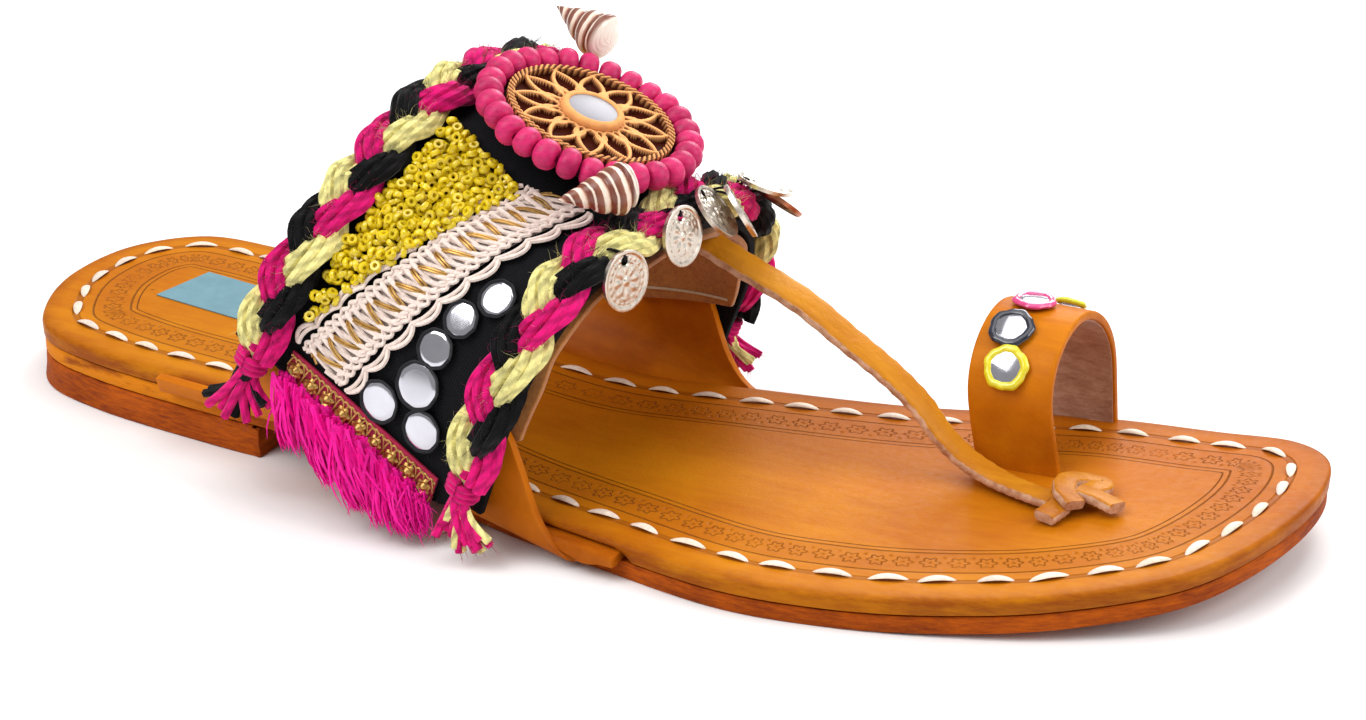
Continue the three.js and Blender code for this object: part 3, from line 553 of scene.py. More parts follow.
# %% Raw edge leather
def edge_leather(name, light, deep):
    edge = Finish(name, Specular_IOR_Level=0.10)
    fibres = edge.noise(260, edge.place((1, 1, 7)), detail=8, rough=0.75)
    patches = edge.noise(45, edge.place((1, 1, 2)), detail=4)
    edge.tone = edge.ramp(edge.weighed(fibres, 0.6, patches, 0.45), (0.40, deep), (0.62, light))
    edge.set(Base_Color=edge.tone, Roughness=edge.ramp(fibres, (0.3, 0.5), (0.7, 0.85)))
    edge.bump(fibres, 0.25, 0.8)
    edge.bump(edge.noise(900), 0.08, 0.6)
    return edge


sole_edge = edge_leather("sole_edge", (0.47, 0.090, 0.003), (0.17, 0.022, 0.002))
lift_edge = edge_leather("lift_edge", (0.48, 0.095, 0.005), (0.17, 0.022, 0.002))
heel_share = sole_edge.ramp(sole_edge.split(sole_edge.object_place())[0], (0.015, 1.0), (0.045, 0.0))
worn_tone = sole_edge.ramp(sole_edge.noise(60, sole_edge.place((1, 1, 4)), detail=6),
                           (0.36, (0.30, 0.065, 0.002)), (0.50, (0.66, 0.20, 0.004)))
sole_edge.set(Base_Color=sole_edge.mixed(heel_share, sole_edge.tone, worn_tone))

# %% [markdown]
# ## The sole
# The sole is two layers of thick leather and a heel lift. Each layer is one closed skin of rings.
# The outer rings follow the outline at small insets, which gives the soft upper edge. The inner
# ones shrink towards a line down the middle, where points of the two sides meet and are welded.
# The height of each ring comes from the sole's own curve, low under the arch and raised at the toe.

# %% Layers of the sole
INNER_RINGS = 22


def ring_layer(name, loop, rings):
    """rings is a list of inset and height, the height a number or a function of x."""
    count = len(loop)
    middle = loop.mean(axis=0)
    partner = loop[(count - np.arange(count)) % count]
    spine = middle + ((loop + partner) / 2 - middle) * (0.84, 1.0)
    loops = [(inset(loop, depth), height) for depth, height in rings]
    shrink = np.linspace(0, 1, INNER_RINGS + 1)[1:]
    low, high = ([(ring * (1 - q) + spine * q, height) for q in shrink]
                 for ring, height in (loops[0], loops[-1]))
    loops = low[::-1] + loops + high

    def at(s, t):
        row = np.rint(t * (len(loops) - 1)).astype(int)
        column = np.rint(s * count).astype(int) % count
        flat = np.array([ring for ring, _ in loops])[row, column]
        heights = [height if callable(height) else (lambda x, z=height: z) for _, height in loops]
        return xyz(flat, [heights[r](x) for r, x in zip(row, flat[:, 0])])
    return weld(laid_grid(name, len(loops) - 1, count, at), caps=False)


def rim_depth(flat):
    """How far each point lies inside the outline, and how far along it, in millimetres."""
    depths, places = [], []
    for part in np.array_split(flat, max(1, len(flat) // 2000)):
        nearest = np.argmin(np.linalg.norm(part[:, None, :] - RIM[None], axis=2), axis=1)
        along, away = along_of(RIM)[nearest], part - RIM[nearest]
        depths.append(np.sum(away * inward(along), axis=1))
        places.append(ARC[nearest] + np.sum(away * along, axis=1))
    return np.concatenate(depths), np.concatenate(places)


def rim_map(layer):
    """A UV map in centimetres: u runs along the outline, v inwards from it."""
    data = layer.data
    depth, place = rim_depth(read(data.vertices, "co", 3)[:, :2] / MM)
    corners = read(data.loops, "vertex_index", 1).astype(int).ravel()
    u = place[corners]
    for face in data.polygons:
        span = u[face.loop_indices]
        if span.max() - span.min() > RIM_LENGTH / 2:
            u[face.loop_indices] = np.where(span < RIM_LENGTH / 2, span + RIM_LENGTH, span)
    data.uv_layers[0].name = "UVMap"
    data.uv_layers[0].data.foreach_set("uv", xyz(u, depth[corners]).ravel() * 0.1)


outsole = ring_layer("outsole_leather", RIM, [
    (2.0, floor_gap), (0.65, floor_gap), (0.3, lambda x: floor_gap(x) + 0.5),
    (0.3, lambda x: outsole_top(x) - 0.5), (0.55, outsole_top), (2.0, outsole_top)])
rim_map(outsole)
done(outsole, sole_edge, "brown_leather", "outsole")


def insole_base(x):
    """The underside of the insole, cut back where the side leather is tucked under it."""
    return outsole_top(x) + GAP + 1.9 * smooth(15, 17, x) * (1 - smooth(125, 127, x))


insole = ring_layer("insole_leather", RIM, [
    (4.0, insole_base), (0.5, insole_base), (0.1, lambda x: insole_base(x) + 0.2),
    (0.0, lambda x: insole_top(x) - 0.95), (0.12, lambda x: insole_top(x) - 0.55),
    (0.5, lambda x: insole_top(x) - 0.2), (1.1, lambda x: insole_top(x) - 0.04), (2.0, insole_top)])
rim_map(insole)

# %% Heel lift
BREAST = 39
crossings = [i for i in range(RIM_POINTS) if (RIM[i, 0] - BREAST) * (RIM[(i + 1) % RIM_POINTS, 0] - BREAST) < 0]
inner_run, outer_run = RIM[: crossings[0] + 1], RIM[crossings[1] + 1:]
across_breast = 27 - (len(inner_run) + len(outer_run)) % 2
front_edge = np.linspace((BREAST, inner_run[-1, 1]), (BREAST, outer_run[0, 1]), across_breast)
heel_lift = ring_layer("heel_lift_leather", np.vstack([inner_run, front_edge, outer_run]), [
    (0.9, 0.0), (0.1, 0.0), (-0.25, 0.45), (0.15, 3.0), (0.3, 5.7), (0.7, 6.1), (1.6, 6.1)])
done(heel_lift, lift_edge, "brown_leather", "heel_lift")

# %% [markdown]
# ## The tooled insole
# The insole carries a border that was pressed into it with hand stamps: a groove, a row of small
# flowers, and a second groove. The UV map measures each point's distance from the rim, so the
# border is drawn where that distance says, and it turns the corners as the real one does. The
# same map makes a dark line along the stitch row: partly the slot cut for each stitch, and partly painted shadow at
# the stitches' outer side. All depths are in centimetres.

# %% Insole finish
STITCH_DEPTH, STITCH_PITCH = 7.2, 9.3
FLOWER, FLOWER_DEPTH = 0.52, 1.42
skin = tan_leather("insole_leather", light=(0.54, 0.185, 0.003), deep=(0.41, 0.110, 0.002), gloss=0.46, coat=0.02)
u, v, _ = skin.split(skin.uv())


def line_at(depth, width, strength=1.0):
    """1 on a line at that depth from the rim, 0 away from it."""
    return skin.clamp(skin.times(skin.peak(skin.minus(v, depth), width), strength))


grooves = skin.clamp(skin.plus(line_at(1.04, 0.026), skin.plus(line_at(1.80, 0.026), line_at(1.93, 0.018))))
across = skin.math("DIVIDE", skin.minus(v, FLOWER_DEPTH), FLOWER)
along = skin.minus(skin.math("FRACT", skin.math("DIVIDE", u, FLOWER)), 0.5)
reach = skin.math("SQRT", skin.plus(skin.times(along, along), skin.times(across, across)))
turn = skin.times(skin.math("ARCTAN2", across, along), 6.0)
lobes = skin.math("MULTIPLY_ADD", skin.math("COSINE", turn), 0.07, 0.31)
dots = skin.times(skin.minus(skin.math("ABSOLUTE", along), 0.40), skin.times(line_at(1.62, 0.07), 9.0))
flowers = skin.math("MAXIMUM", skin.peak(skin.minus(reach, lobes), 0.055), skin.peak(reach, 0.10))
stamp_share = skin.times(skin.clamp(skin.math("MAXIMUM", flowers, dots)),
                         skin.ramp(skin.noise(70, detail=3), (0.34, 0.35), (0.6, 1.0)))
# A dark line just outside the stitch row: partly the cut for each stitch, partly painted shadow at the stitches'
# outer side.
slot_line_and_shadow = line_at(STITCH_DEPTH / 10 - 0.03, 0.085, 2.0)
marks = skin.clamp(skin.plus(skin.times(stamp_share, 0.75), skin.plus(grooves, skin.times(slot_line_and_shadow, 0.8))))
x, y, _ = skin.split(skin.object_place())
far_side = skin.ramp(skin.plus(skin.times(y, 9.0), 0.45), (0.30, 0.0), (0.75, 1.0))
shade = skin.times(far_side, skin.ramp(x, (0.05, 0.15), (0.10, 1.0), (0.17, 0.75)))
# The rim is darker, in patches, for about 4 mm inwards.
rim_dark = skin.clamp(skin.minus(1.0, skin.times(v, 2.6)))
rim_patches = skin.ramp(skin.noise(75, skin.place((1, 1, 5)), detail=8, rough=0.7), (0.38, 0.25), (0.60, 1.0))
tone = skin.tone
for share, color in ((skin.times(shade, 0.75), (0.40, 0.088, 0.003)),
                     (skin.times(rim_dark, rim_patches), (0.27, 0.060, 0.003)),
                     (skin.times(line_at(FLOWER_DEPTH, 0.38, 6.0), 0.30), (0.36, 0.085, 0.003)),
                     (skin.times(marks, 0.58), (0.20, 0.045, 0.003))):
    tone = skin.mixed(share, tone, color)
skin.set(Base_Color=tone)
skin.bump(skin.times(marks, -1.0), 0.5, 0.9)
done(insole, skin, "tan_leather", "insole", angle=60)

# %% Dyed finishes
def dyed(name, roughness=0.6, scale=900, depth=0.05, **constants):
    """A finish whose colour is each piece's own dye, with fine mottling over it."""
    finish = Finish(name, **constants)
    dye = finish.node("Attribute", attribute_name="dye").outputs["Color"]
    grain = finish.noise(scale, detail=4)
    mottle = finish.ramp(grain, (0.3, 0.55), (0.7, 1.0))
    finish.tone = finish.mixed(0.6, dye, mottle, "MULTIPLY")
    finish.set(Base_Color=finish.tone,
               Roughness=finish.ramp(grain, (0.3, roughness - 0.1), (0.7, roughness + 0.1)))
    finish.bump(grain, depth, 0.7)
    return finish


# %% [markdown]
# ## Running stitches
# A flat, pale leather lace is sewn all round the insole. Each visible stitch is a lens: pointed
# where it dives into its slot, widest and highest in the middle. One stitch is modelled from a
# grid and then copied along the outline, with a little change in turn and length.

# %% One stitch and its copies
def stitch_at(s, t):
    a = t * 2 - 1
    half = 0.85 * np.sqrt(np.maximum(1 - a * a, 0)) ** 1.2 + 0.06
    thick = 0.34 * (1 - 0.6 * a * a)
    return xyz(3.4 * a, half * np.cos(TAU * s), thick * np.sin(TAU * s) + 0.66 * (1 - a * a) - 0.1)


stitch = weld(laid_grid("stitch", 12, 10, stitch_at))
stitch_row = inset(RIM, STITCH_DEPTH)
row_arc = arc_of(stitch_row)
stitch_count = int(row_arc[-1] / STITCH_PITCH)
places, dyes = [], []
for k in range(stitch_count):
    here = (k + chance.uniform(-0.06, 0.06)) * row_arc[-1] / stitch_count % row_arc[-1]
    i = int(np.searchsorted(row_arc, here, side="right") - 1) % RIM_POINTS
    f = (here - row_arc[i]) / (row_arc[i + 1] - row_arc[i])
    p = stitch_row[i] * (1 - f) + stitch_row[(i + 1) % RIM_POINTS] * f
    ax, ay = unit(stitch_row[(i + 2) % RIM_POINTS] - stitch_row[(i - 1) % RIM_POINTS])
    turn = chance.uniform(-0.10, 0.10) + 0.06
    c, s = math.cos(turn), math.sin(turn)
    slope = (insole_top(p[0] + 1) - insole_top(p[0] - 1)) / 2
    along = unit(np.array([ax * c - ay * s, ax * s + ay * c, slope * (ax * c - ay * s)]))
    side = unit(np.cross((0, 0, 1), along))
    axes = np.array([along * chance.uniform(0.92, 1.05), side, np.cross(along, side)])
    places.append(((*p, insole_top(p[0]) + 0.05), axes))
    pale = chance.uniform(0.8, 1.0)
    dyes.append((0.94 * pale, 0.78 * pale, 0.60 * pale + chance.uniform(0, 0.06)))
done(copies("stitches", stitch, places, dyes), dyed("stitch_leather", 0.5, 1200), "tan_leather")

# %% [markdown]
# ## The label
# A small paper-thin patch is glued to the heel. It stays blank. Its cloth has a fine weave.

# %% Label
LABEL_MIDDLE, LABEL_HALF, LABEL_TURN = (8.6, 2.6), (17.4, 7.9), math.radians(-7)


def label_at(s, t):
    a, b = (s * 2 - 1) * LABEL_HALF[0], (t * 2 - 1) * LABEL_HALF[1]
    x = LABEL_MIDDLE[0] + a * math.cos(LABEL_TURN) - b * math.sin(LABEL_TURN)
    y = LABEL_MIDDLE[1] + a * math.sin(LABEL_TURN) + b * math.cos(LABEL_TURN)
    return xyz(x, y, insole_top(x) + 0.16)


patch = Finish("label_cloth", Roughness=0.7)
weave = patch.node("TexWave", {"Vector": patch.place(), "Scale": 700.0, "Distortion": 1.0}).outputs["Fac"]
patch.set(Base_Color=patch.ramp(patch.noise(260), (0.25, (0.11, 0.23, 0.28)), (0.75, (0.15, 0.29, 0.34))))
patch.bump(weave, 0.03, 0.6)
done(walled(laid_grid("heel_label", 8, 16, label_at), 0.2), patch, "black_cloth")

# %% [markdown]
# ## Side leather
# On each side a leather ear starts between the layers of the sole, bends up at the edge and climbs
# under the band, where it is sewn. It is one sheet, so it is laid as one grid and given a wall.

# %% Ears
EAR_REAR, EAR_FRONT = 17, 125
EAR_ALONG = [0, .19, .25, .33, .74, .79, .83, .88, .93, .97, 1]
EAR_RISE = [.04, .06, .42, 1, 1, .82, .58, .34, .16, .06, .04]
TUCK_END, BEND_END = 0.16, 0.24


def sole_side(side, x):
    rows = RIM[RIM[:, 1] * side > 0]
    rows = rows[np.argsort(rows[:, 0])]
    return np.interp(x, rows[:, 0], rows[:, 1])


def under_band(side, x, v):
    place = sided(side, np.broadcast_to(np.asarray(v, float), x.shape))
    b, f = through(BACK_RAIL, place), through(FRONT_RAIL, place)
    return band((x - b[:, 0]) / (f[:, 0] - b[:, 0]), place, -CLOTH - LAP - EAR / 2)


def ear_sheet(side):
    def at(s, t):
        x = EAR_REAR + (EAR_FRONT - EAR_REAR) * t
        y = sole_side(side, x)
        z = outsole_top(x) + GAP + 0.8
        tuck, edge, foot = (xyz(x, y + side * out, z) for out in (-8.2, 0, 1.9))
        hem = under_band(side, x, 0)
        knee = 2 * hem - under_band(side, x, 0.04)
        rise = np.interp(t, EAR_ALONG, EAR_RISE) * np.clip((s - BEND_END) / (1 - BEND_END), 0, 1)
        bend = bow(foot, knee, hem, np.minimum(rise / 0.5, 1)[:, None])
        high = under_band(side, x, 0.12 * np.clip((rise - 0.5) / 0.5, 0, 1))
        flat = np.clip(s / TUCK_END, 0, 1)[:, None]
        step = np.clip((s - TUCK_END) / (BEND_END - TUCK_END), 0, 1)[:, None]
        low = (tuck * (1 - flat) + edge * flat) * (1 - step) + foot * step
        return np.where(s[:, None] <= BEND_END, low, np.where(rise[:, None] > 0.5, high, bend))
    return at


for side, place in SIDES:
    ear = walled(laid_grid(f"ear_leather_{place}", 96, 25, ear_sheet(side)), 1.7, bevel=0.35)
    done(ear, ear_leather, "tan_leather", f"ear_{place}")

# %% [markdown]
# ## The band and its lining
# The band is a stiff black cloth wall over the instep. Under it lies a soft leather lining, whose
# ends are cut to a point where they meet the ears. Both follow the same two rails, the lines of
# the braids, so a grid in u and v gives them directly.

# %% Band wall
HEM, FRONT_TRIM, LINING_INSET = 5.2 / PITCH, 2.2 / PITCH, 0.035


def wall_at(s, t):
    u = -HEM + (1 + 2 * HEM - FRONT_TRIM) * s
    low = hem_drop(u) + 0.030 * smooth(.85, 1.05, u)
    v = low + (1 - 2 * low) * t
    return band(u + pushed(FRONT_PUSH, v) * smooth(.75, 1, u), v, -CLOTH / 2)


cloth = Finish("black_cloth", Specular_IOR_Level=0.15)
warp, weft = (cloth.node("TexWave", {"Vector": cloth.uv(), "Scale": 0.55, "Distortion": 0.4},
                         bands_direction=way).outputs["Fac"] for way in "XY")
weave = cloth.times(warp, weft)
lint = cloth.noise(420, detail=8, rough=0.8)
cloth.set(Base_Color=cloth.ramp(cloth.weighed(lint, 0.5, weave, 0.3),
                                (0.25, (0.002, 0.002, 0.003)), (0.75, (0.014, 0.014, 0.017))),
          Roughness=cloth.ramp(lint, (0.3, 0.65), (0.7, 0.95)))
cloth.bump(weave, 0.12, 0.8)
cloth.bump(lint, 0.12, 0.5)
wall = walled(stretched(laid_grid("band_cloth", 120, 28, wall_at), 58.4, 165), 1.8, bevel=0.4)
done(wall, cloth, "black_cloth", "instep_band")

# %% Lining
suede = Finish("lining_suede", Roughness=0.9, Sheen_Weight=0.3)
nap = suede.noise(160, detail=9, rough=0.8)
fine = suede.noise(1400, detail=3)
suede.set(Base_Color=suede.ramp(suede.weighed(fine, 0.4, nap, 0.6),
                                (0.36, (0.27, 0.085, 0.012)), (0.62, (0.46, 0.18, 0.032))))
suede.bump(nap, 0.25, 0.8)
suede.bump(fine, 0.08, 0.8)


def lining_edge(s, margin):
    """u across the lining, and v of its pointed end with that margin."""
    return (-HEM + LINING_INSET + (1 + 2 * HEM - 2 * LINING_INSET) * s,
            margin + 0.115 * np.abs(s - 0.67) / 0.67)


def lining_sheet(s, t):
    u, tab = lining_edge(s, 0.015)
    v = tab + (1 - 2 * tab) * t
    over_ear = 1 - smooth(.14, .22, np.minimum(v, 1 - v))
    depth = CLOTH + LAP + over_ear * (EAR + LAP) + LINING / 2
    return band(u + pushed(FRONT_PUSH, v) * smooth(.75, 1, u), v, -depth)


done(walled(laid_grid("lining_leather", 120, 24, lining_sheet), 1.4, bevel=0.3), suede, "suede", "band_lining")
seams = []
for side, _ in SIDES:
    u, tab = lining_edge(np.linspace(0.05, 0.98, 90), 0.030)
    v = sided(side, tab)
    seams.append(tube("lining_seam", band(u, v, -6.85), 0.28, band_normal(u, v), squash=0.7))
done(tinted(join("lining_seams", seams), (0.62, 0.50, 0.34)), dyed("sewing_thread", 0.7, 1500), "suede")

# %% [markdown]
# ## Wool
# The braids and tassels are loosely spun wool. A shader alone cannot give their outline, so each
# strand is a bundle of twisted yarns, and short stray hairs stand off them. The yarn shader reads
# the length along the yarn, and draws the slanting plies with it.

# %% Wool finish
wool = dyed("wool_yarn", 0.92, 1300, 0.05, Specular_IOR_Level=0.10, Sheen_Weight=0.10, Sheen_Roughness=0.5)
u, v, _ = wool.split(wool.uv())
wave = wool.math("SINE", wool.times(wool.weighed(u, 2.0, v, 0.30), TAU))
ply = wool.math("MULTIPLY_ADD", wave, 0.5, 0.5)
# The plies' grooves are darkened in the colour as well as in the bump: painted shade between the plies.
wool.set(Base_Color=wool.mixed(1.0, wool.tone, wool.ramp(ply, (0.0, 0.66), (0.6, 1.0)), "MULTIPLY"))
wool.bump(ply, 0.22, 0.8)
wool.bump(wool.noise(2600, detail=3), 0.08, 0.7)
PINK, YELLOW, BLACK = (0.80, 0.008, 0.19), (0.95, 0.86, 0.34), (0.004, 0.004, 0.005)


def yarn(path, radius, upward, color):
    return tinted(stretched(tube("yarn", path, radius, upward), 1, length_of(path)), color)


def hair_master(radius, bend=1.6, steps=5):
    """One hair, 10 mm long and tapered, along +X."""
    t = np.linspace(0, 1, steps + 1)
    path = xyz(10 * t, bend * np.sin(np.pi * t * 0.9) * t, 0.3 * bend * np.sin(4 * t))
    return tube("hair", path, radius * (1.02 - t) ** 0.6, (0, 0, 1), 3)


# %% Braids
BRAID_STEPS, STRAND_YARNS, STRAND_HAIRS = 172, 6, 760


def braid(name, node, line):
    yarns, roots, dyes = [], [], []
    v = np.linspace(0.028, 0.972, BRAID_STEPS)
    over = band_normal(line(v), v)
    for k, color in enumerate((PINK, YELLOW, BLACK)):
        phase = TAU * (4.7 * v + k / 3)
        path = band(line(v) + 2.8 * np.sin(phase) / PITCH, v, 3.4 + 1.2 * np.sin(2 * phase))
        side_row, over_row, along_row = axes_of(path, over)
        for j in range(STRAND_YARNS):
            angle = TAU * (j / STRAND_YARNS + 3.2 * v + 0.15 * k)
            wander = 1 + 0.10 * np.sin(TAU * (v * (17 + j) + 0.37 * j))
            offset = side_row * (2.0 * np.cos(angle) * wander)[:, None] \
                + over_row * (1.05 * np.sin(angle) * wander)[:, None]
            yarns.append(yarn(path + offset, 1.06 * (1 + 0.05 * np.sin(90 * v + j)), over,
                              shaded(color, 0.85, 1.05)))
        for _ in range(STRAND_HAIRS):
            i = chance.randrange(4, BRAID_STEPS - 4)
            side, up, along = side_row[i], over_row[i], along_row[i]
            out = up * chance.uniform(0.2, 1) + side * chance.uniform(-1, 1) \
                + along * chance.uniform(-1.6, 1.6) + jitter(0.6)
            start = path[i] + unit(up + side * chance.uniform(-1.2, 1.2)) * 1.9
            roots.append((start, axes_to(out + up * 0.3, chance.uniform(0, 6.28), chance.uniform(0.14, 0.34))))
            dyes.append(shaded(color, 0.9, 1.1))
    done(join(name, yarns), wool, "wool_yarn", node)
    done(copies(f"{name}_hairs", hair_master(0.15, bend=3.2), roots, dyes), wool, "wool_yarn")


braid("braid_yarns_back", "braid_back", lambda v: pushed(BACK_PUSH, v))
braid("braid_yarns_front", "braid_front", lambda v: 1 + pushed(FRONT_PUSH, v))

# %% Tassels
YARN_ENDS = np.array([(-9, 2.5, -8.5), (-4.5, 3, -11), (.5, 3, -11.5), (5, 2, -8.5)], float)


def tassel(name, node, side, u, turn, reach, forward, count, colors):
    root, above = band(u, sided(side, 0.014), 3.4)[0], band(u, sided(side, 0.034), 3.4)[0]
    down = unit(root - above)
    ring = unit(np.cross(down, (1, 0, 0)))
    other = np.cross(down, ring)
    parts, roots, dyes = [], [], []
    angle = np.linspace(0, TAU, 19)
    for wrap in range(3):
        loop = root - down * (1.6 - 1.1 * wrap) + np.outer(np.cos(angle), ring) * 2.3 \
            + np.outer(np.sin(angle), other) * 2.7 + np.outer(angle / 6.3, down)
        parts.append(yarn(loop, 0.8, down, shaded(PINK, 0.8, 1)))
    for j in range(count):
        q = np.clip(j / (count - 1) * 3 + chance.uniform(-.25, .25), 0, 2.999)
        i = int(q)
        end = YARN_ENDS[i] * (1 - q + i) + YARN_ENDS[i + 1] * (q - i)
        end = end * (turn, side, reach) * chance.uniform(0.82, 1.06) + (forward, 0, 0)
        end[1] += side * chance.uniform(-1.2, 1.2)
        spread = ring * chance.uniform(-1.3, 1.3) + other * chance.uniform(-1.5, 1.5)
        start = root + spread
        bulge = start + down * 4.5 + spread * 0.5 + (0, side * 0.8, 0)
        path = bow(start, bulge, root + end, np.linspace(0, 1, 9)[:, None])
        color = shaded(colors[j % len(colors)], 0.85, 1.05)
        parts.append(yarn(path, np.linspace(1.05, 0.85, 9), (side, 0.3, 0.2), color))
        for _ in range(22):
            i = chance.randrange(2, 9)
            stray = unit(path[i] - path[i - 1]) * chance.uniform(0.2, 1.2) + jitter(0.9)
            roots.append((path[i], axes_to(stray, chance.uniform(0, 6.28), chance.uniform(0.12, 0.26))))
            dyes.append(color)
    done(join(name, parts), wool, "wool_yarn", node)
    done(copies(f"{name}_hairs", hair_master(0.16), roots, dyes), wool, "wool_yarn")


for side, place in SIDES:
    tassel(f"tassel_yarns_back_{place}", f"tassel_back_{place}", side, 0, 1.1, 1.05, -1, 13,
           (BLACK, BLACK, PINK, BLACK, PINK, PINK))
    tassel(f"tassel_yarns_front_{place}", f"tassel_front_{place}", side, 1, 0.85, 1.0, 3, 19,
           (PINK, PINK, YELLOW, PINK))

# %% [markdown]
# ## Trims on the cloth
# Each side of the band carries a strip of crochet lace, a bed of sewn glass seed beads, six round
# mirrors, a gold ribbon and a fringe of long dyed pile. They are laid in patches between four
# corners on the band, so that one function places all of them on both sides.

# %% Patches on the band
LACE = [(.095, .064), (.430, .030), (.872, .424), (.505, .402)]
SEEDS = [(.112, .156), (.150, .098), (.575, .392), (.118, .440)]
GOTA = [(.125, .004), (.125, .047), (.865, -.006), (.865, -.050)]
CREAM, GOLD, CRIMSON = (0.92, 0.76, 0.68), (0.62, 0.37, 0.12), (0.42, 0.006, 0.055)


def on_patch(corners, side, t, s, h):
    t, s, h = rows_of(t, s, h)
    a, b, c, d = np.array(corners, float)
    low, high = a + (d - a) * t[:, None], b + (c - b) * t[:, None]
    u, v = (low + (high - low) * s[:, None]).T
    return band(u, sided(side, v), h), band_normal(u, sided(side, v))


def cord(corners, side, t, s, h, radius, color):
    path, over = on_patch(corners, side, t, s, h)
    return tinted(tube("cord", path, radius, over, squash=0.85), color)


# %% Crochet lace
cotton = dyed("crochet_cotton", 0.85, 1500, 0.06, Sheen_Weight=0.1)
gold = dyed("gold_thread", 0.42, 1800, 0.04, Metallic=1.0)
t = np.linspace(0.004, 0.996, 190)
lobe = np.abs(np.sin(np.pi * 9 * t)) ** 0.6
runs = []
for k in range(3):
    wave = TAU * (10.5 * t + k / 3)
    runs.append((0.5 + 0.27 * np.sin(wave), 1.15 + 0.3 * np.sin(2 * wave), 0.48))
for centre, sign in ((0.20, 1), (0.28, -1), (0.72, 1), (0.80, -1)):
    wave = TAU * 26 * t
    runs.append((centre + 0.018 * np.sin(wave) * sign, 1.3 + 0.22 * np.cos(wave) * sign, 0.44))
for line, outward in ((0.14, -1), (0.86, 1)):
    runs.append((line + outward * 0.13 * lobe, 0.95 + 0.2 * lobe, 0.5))
    runs.append((line + outward * 0.06 * lobe, 1.2, 0.42))
for side, place in SIDES:
    cords = [cord(LACE, side, t, *run, shaded(CREAM, 0.9, 1.05)) for run in runs]
    gilt = []
    for k in range(2):
        wave = TAU * (10.5 * t + 0.5 + 0.10 * k)
        gilt.append(cord(LACE, side, t, 0.5 + 0.19 * np.sin(wave), 1.45 + 0.55 * np.cos(2 * wave), 0.24, GOLD))
    # Under the cords lies a sheet of the same cream at 0.4 of its brightness: painted shade in the depths of the
    # lace.
    lace_shade_sheet = laid_grid("lace_mesh_in_shade", 60, 10, lambda s, t: on_patch(LACE, side, t, 0.19 + 0.62 * s, 0.62)[0])
    cords.append(tinted(walled(lace_shade_sheet, 0.25), shaded(CREAM, 0.40, 0.44)))
    done(join(f"lace_cords_{place}", cords), cotton, "lace", f"lace_{place}")
    done(join(f"lace_gilt_{place}", gilt), gold, "lace")

# %% Seed beads
glass = dyed("seed_glass", 0.18, 1500, 0.02, Coat_Weight=0.4, Coat_Roughness=0.1)
for side, place in SIDES:
    places, dyes = [], []
    for layer, pitch, keep in ((0, 1.75, 1.0), (1, 2.2, 0.65)):
        rows = int(46 / (pitch * 0.87))
        for row in range(rows):
            columns = max(1, round((3 + 18.5 * (row + 0.5) / rows) / pitch))
            for column in range(columns):
                if chance.random() > keep:
                    continue
                t = (row + 0.5 + chance.uniform(-.22, .22)) / rows
                s = np.clip((column + 0.5 + 0.25 * (-1) ** row + chance.uniform(-.2, .2)) / columns, 0.02, 0.98)
                point, over = on_patch(SEEDS, side, t, s, 1.35 + 1.05 * layer + chance.uniform(-.15, .3))
                tilt = over[0] * chance.uniform(0.1, 1.0) + jitter(1)
                places.append((point[0], axes_to(tilt, chance.uniform(0, 6.28))[[1, 2, 0]]))
                dyes.append(shaded((0.86, 0.64, 0.012), 0.86, 1.1))
    seed = ring_master("seed_bead", 0.70, 0.46, 9, 6, 1.25)
    done(copies(f"seed_bead_bed_{place}", seed, places, dyes), glass, "seed_beads", f"seed_beads_{place}", angle=60)
    print(len(places), "seed beads")

# %% Band mirrors
def mirror_glass(name, dark, bright, metal, rough):
    finish = Finish(name, Metallic=metal)
    smear = finish.noise(120, detail=6)
    finish.set(Roughness=finish.ramp(smear, (0.35, rough), (0.75, rough + 0.15)),
               Base_Color=finish.ramp(smear, (0.3, dark), (0.8, bright)))
    finish.bump(finish.noise(60), 0.03, 0.3)
    return finish


mirror = mirror_glass("mirror_glass", (0.52, 0.51, 0.56), (0.66, 0.65, 0.70), 1.0, 0.05)
# The medallion's mirror is mostly diffuse grey: a painted reflection of its pale surroundings, under a soft
# highlight.
mirror_with_painted_reflection = mirror_glass("mirror_glass_with_painted_reflection", (0.19, 0.185, 0.205), (0.30, 0.29, 0.32), 0.25, 0.40)
BAND_MIRRORS = [(.783, .246, 3.2), (.703, .199, 3.1), (.668, .149, 3.3), (.666, .094, 4.1),
                (.537, .046, 3.7), (.742, .040, 3.6)]
for side, place in SIDES:
    glasses, rims = [], []
    for u, v, radius in BAND_MIRRORS:
        v = sided(side, v)
        centre, out = band(u, v, 0)[0], band_normal(u, v)[0]
        over = unit(band(u, v + 0.01, 0)[0] - centre)
        axes = np.array([np.cross(over, out), over, out])
        radius *= 1.07
        disc = lathe("glass", [(0, 0.55), (radius, 0.55), (radius, 0.95), (radius - 0.25, 1.15),
                               (radius - 1.4, 1.2), (0, 1.2)], 36)
        glasses.append(copies("glass", disc, [(centre, axes)]))
        turn = np.linspace(0, TAU, 49)
        for shift, thick in ((0.05, 0.24), (-0.22, 0.17)):
            sway = radius + shift + 0.06 * np.sin(9 * turn + 20 * u)
            loop = centre + np.outer(np.cos(turn) * sway, axes[0]) + np.outer(np.sin(turn) * sway, over)
            rims.append(tube("mirror_rim", loop + out * 1.12, thick, out))
    done(join(f"band_mirrors_{place}", glasses), mirror, "mirror",
         *[f"band_mirror_{place}_{k}" for k in range(1, 7)])
    done(tinted(join(f"band_mirror_rims_{place}", rims), (0.035, 0.035, 0.040)), wool, "black_cloth")

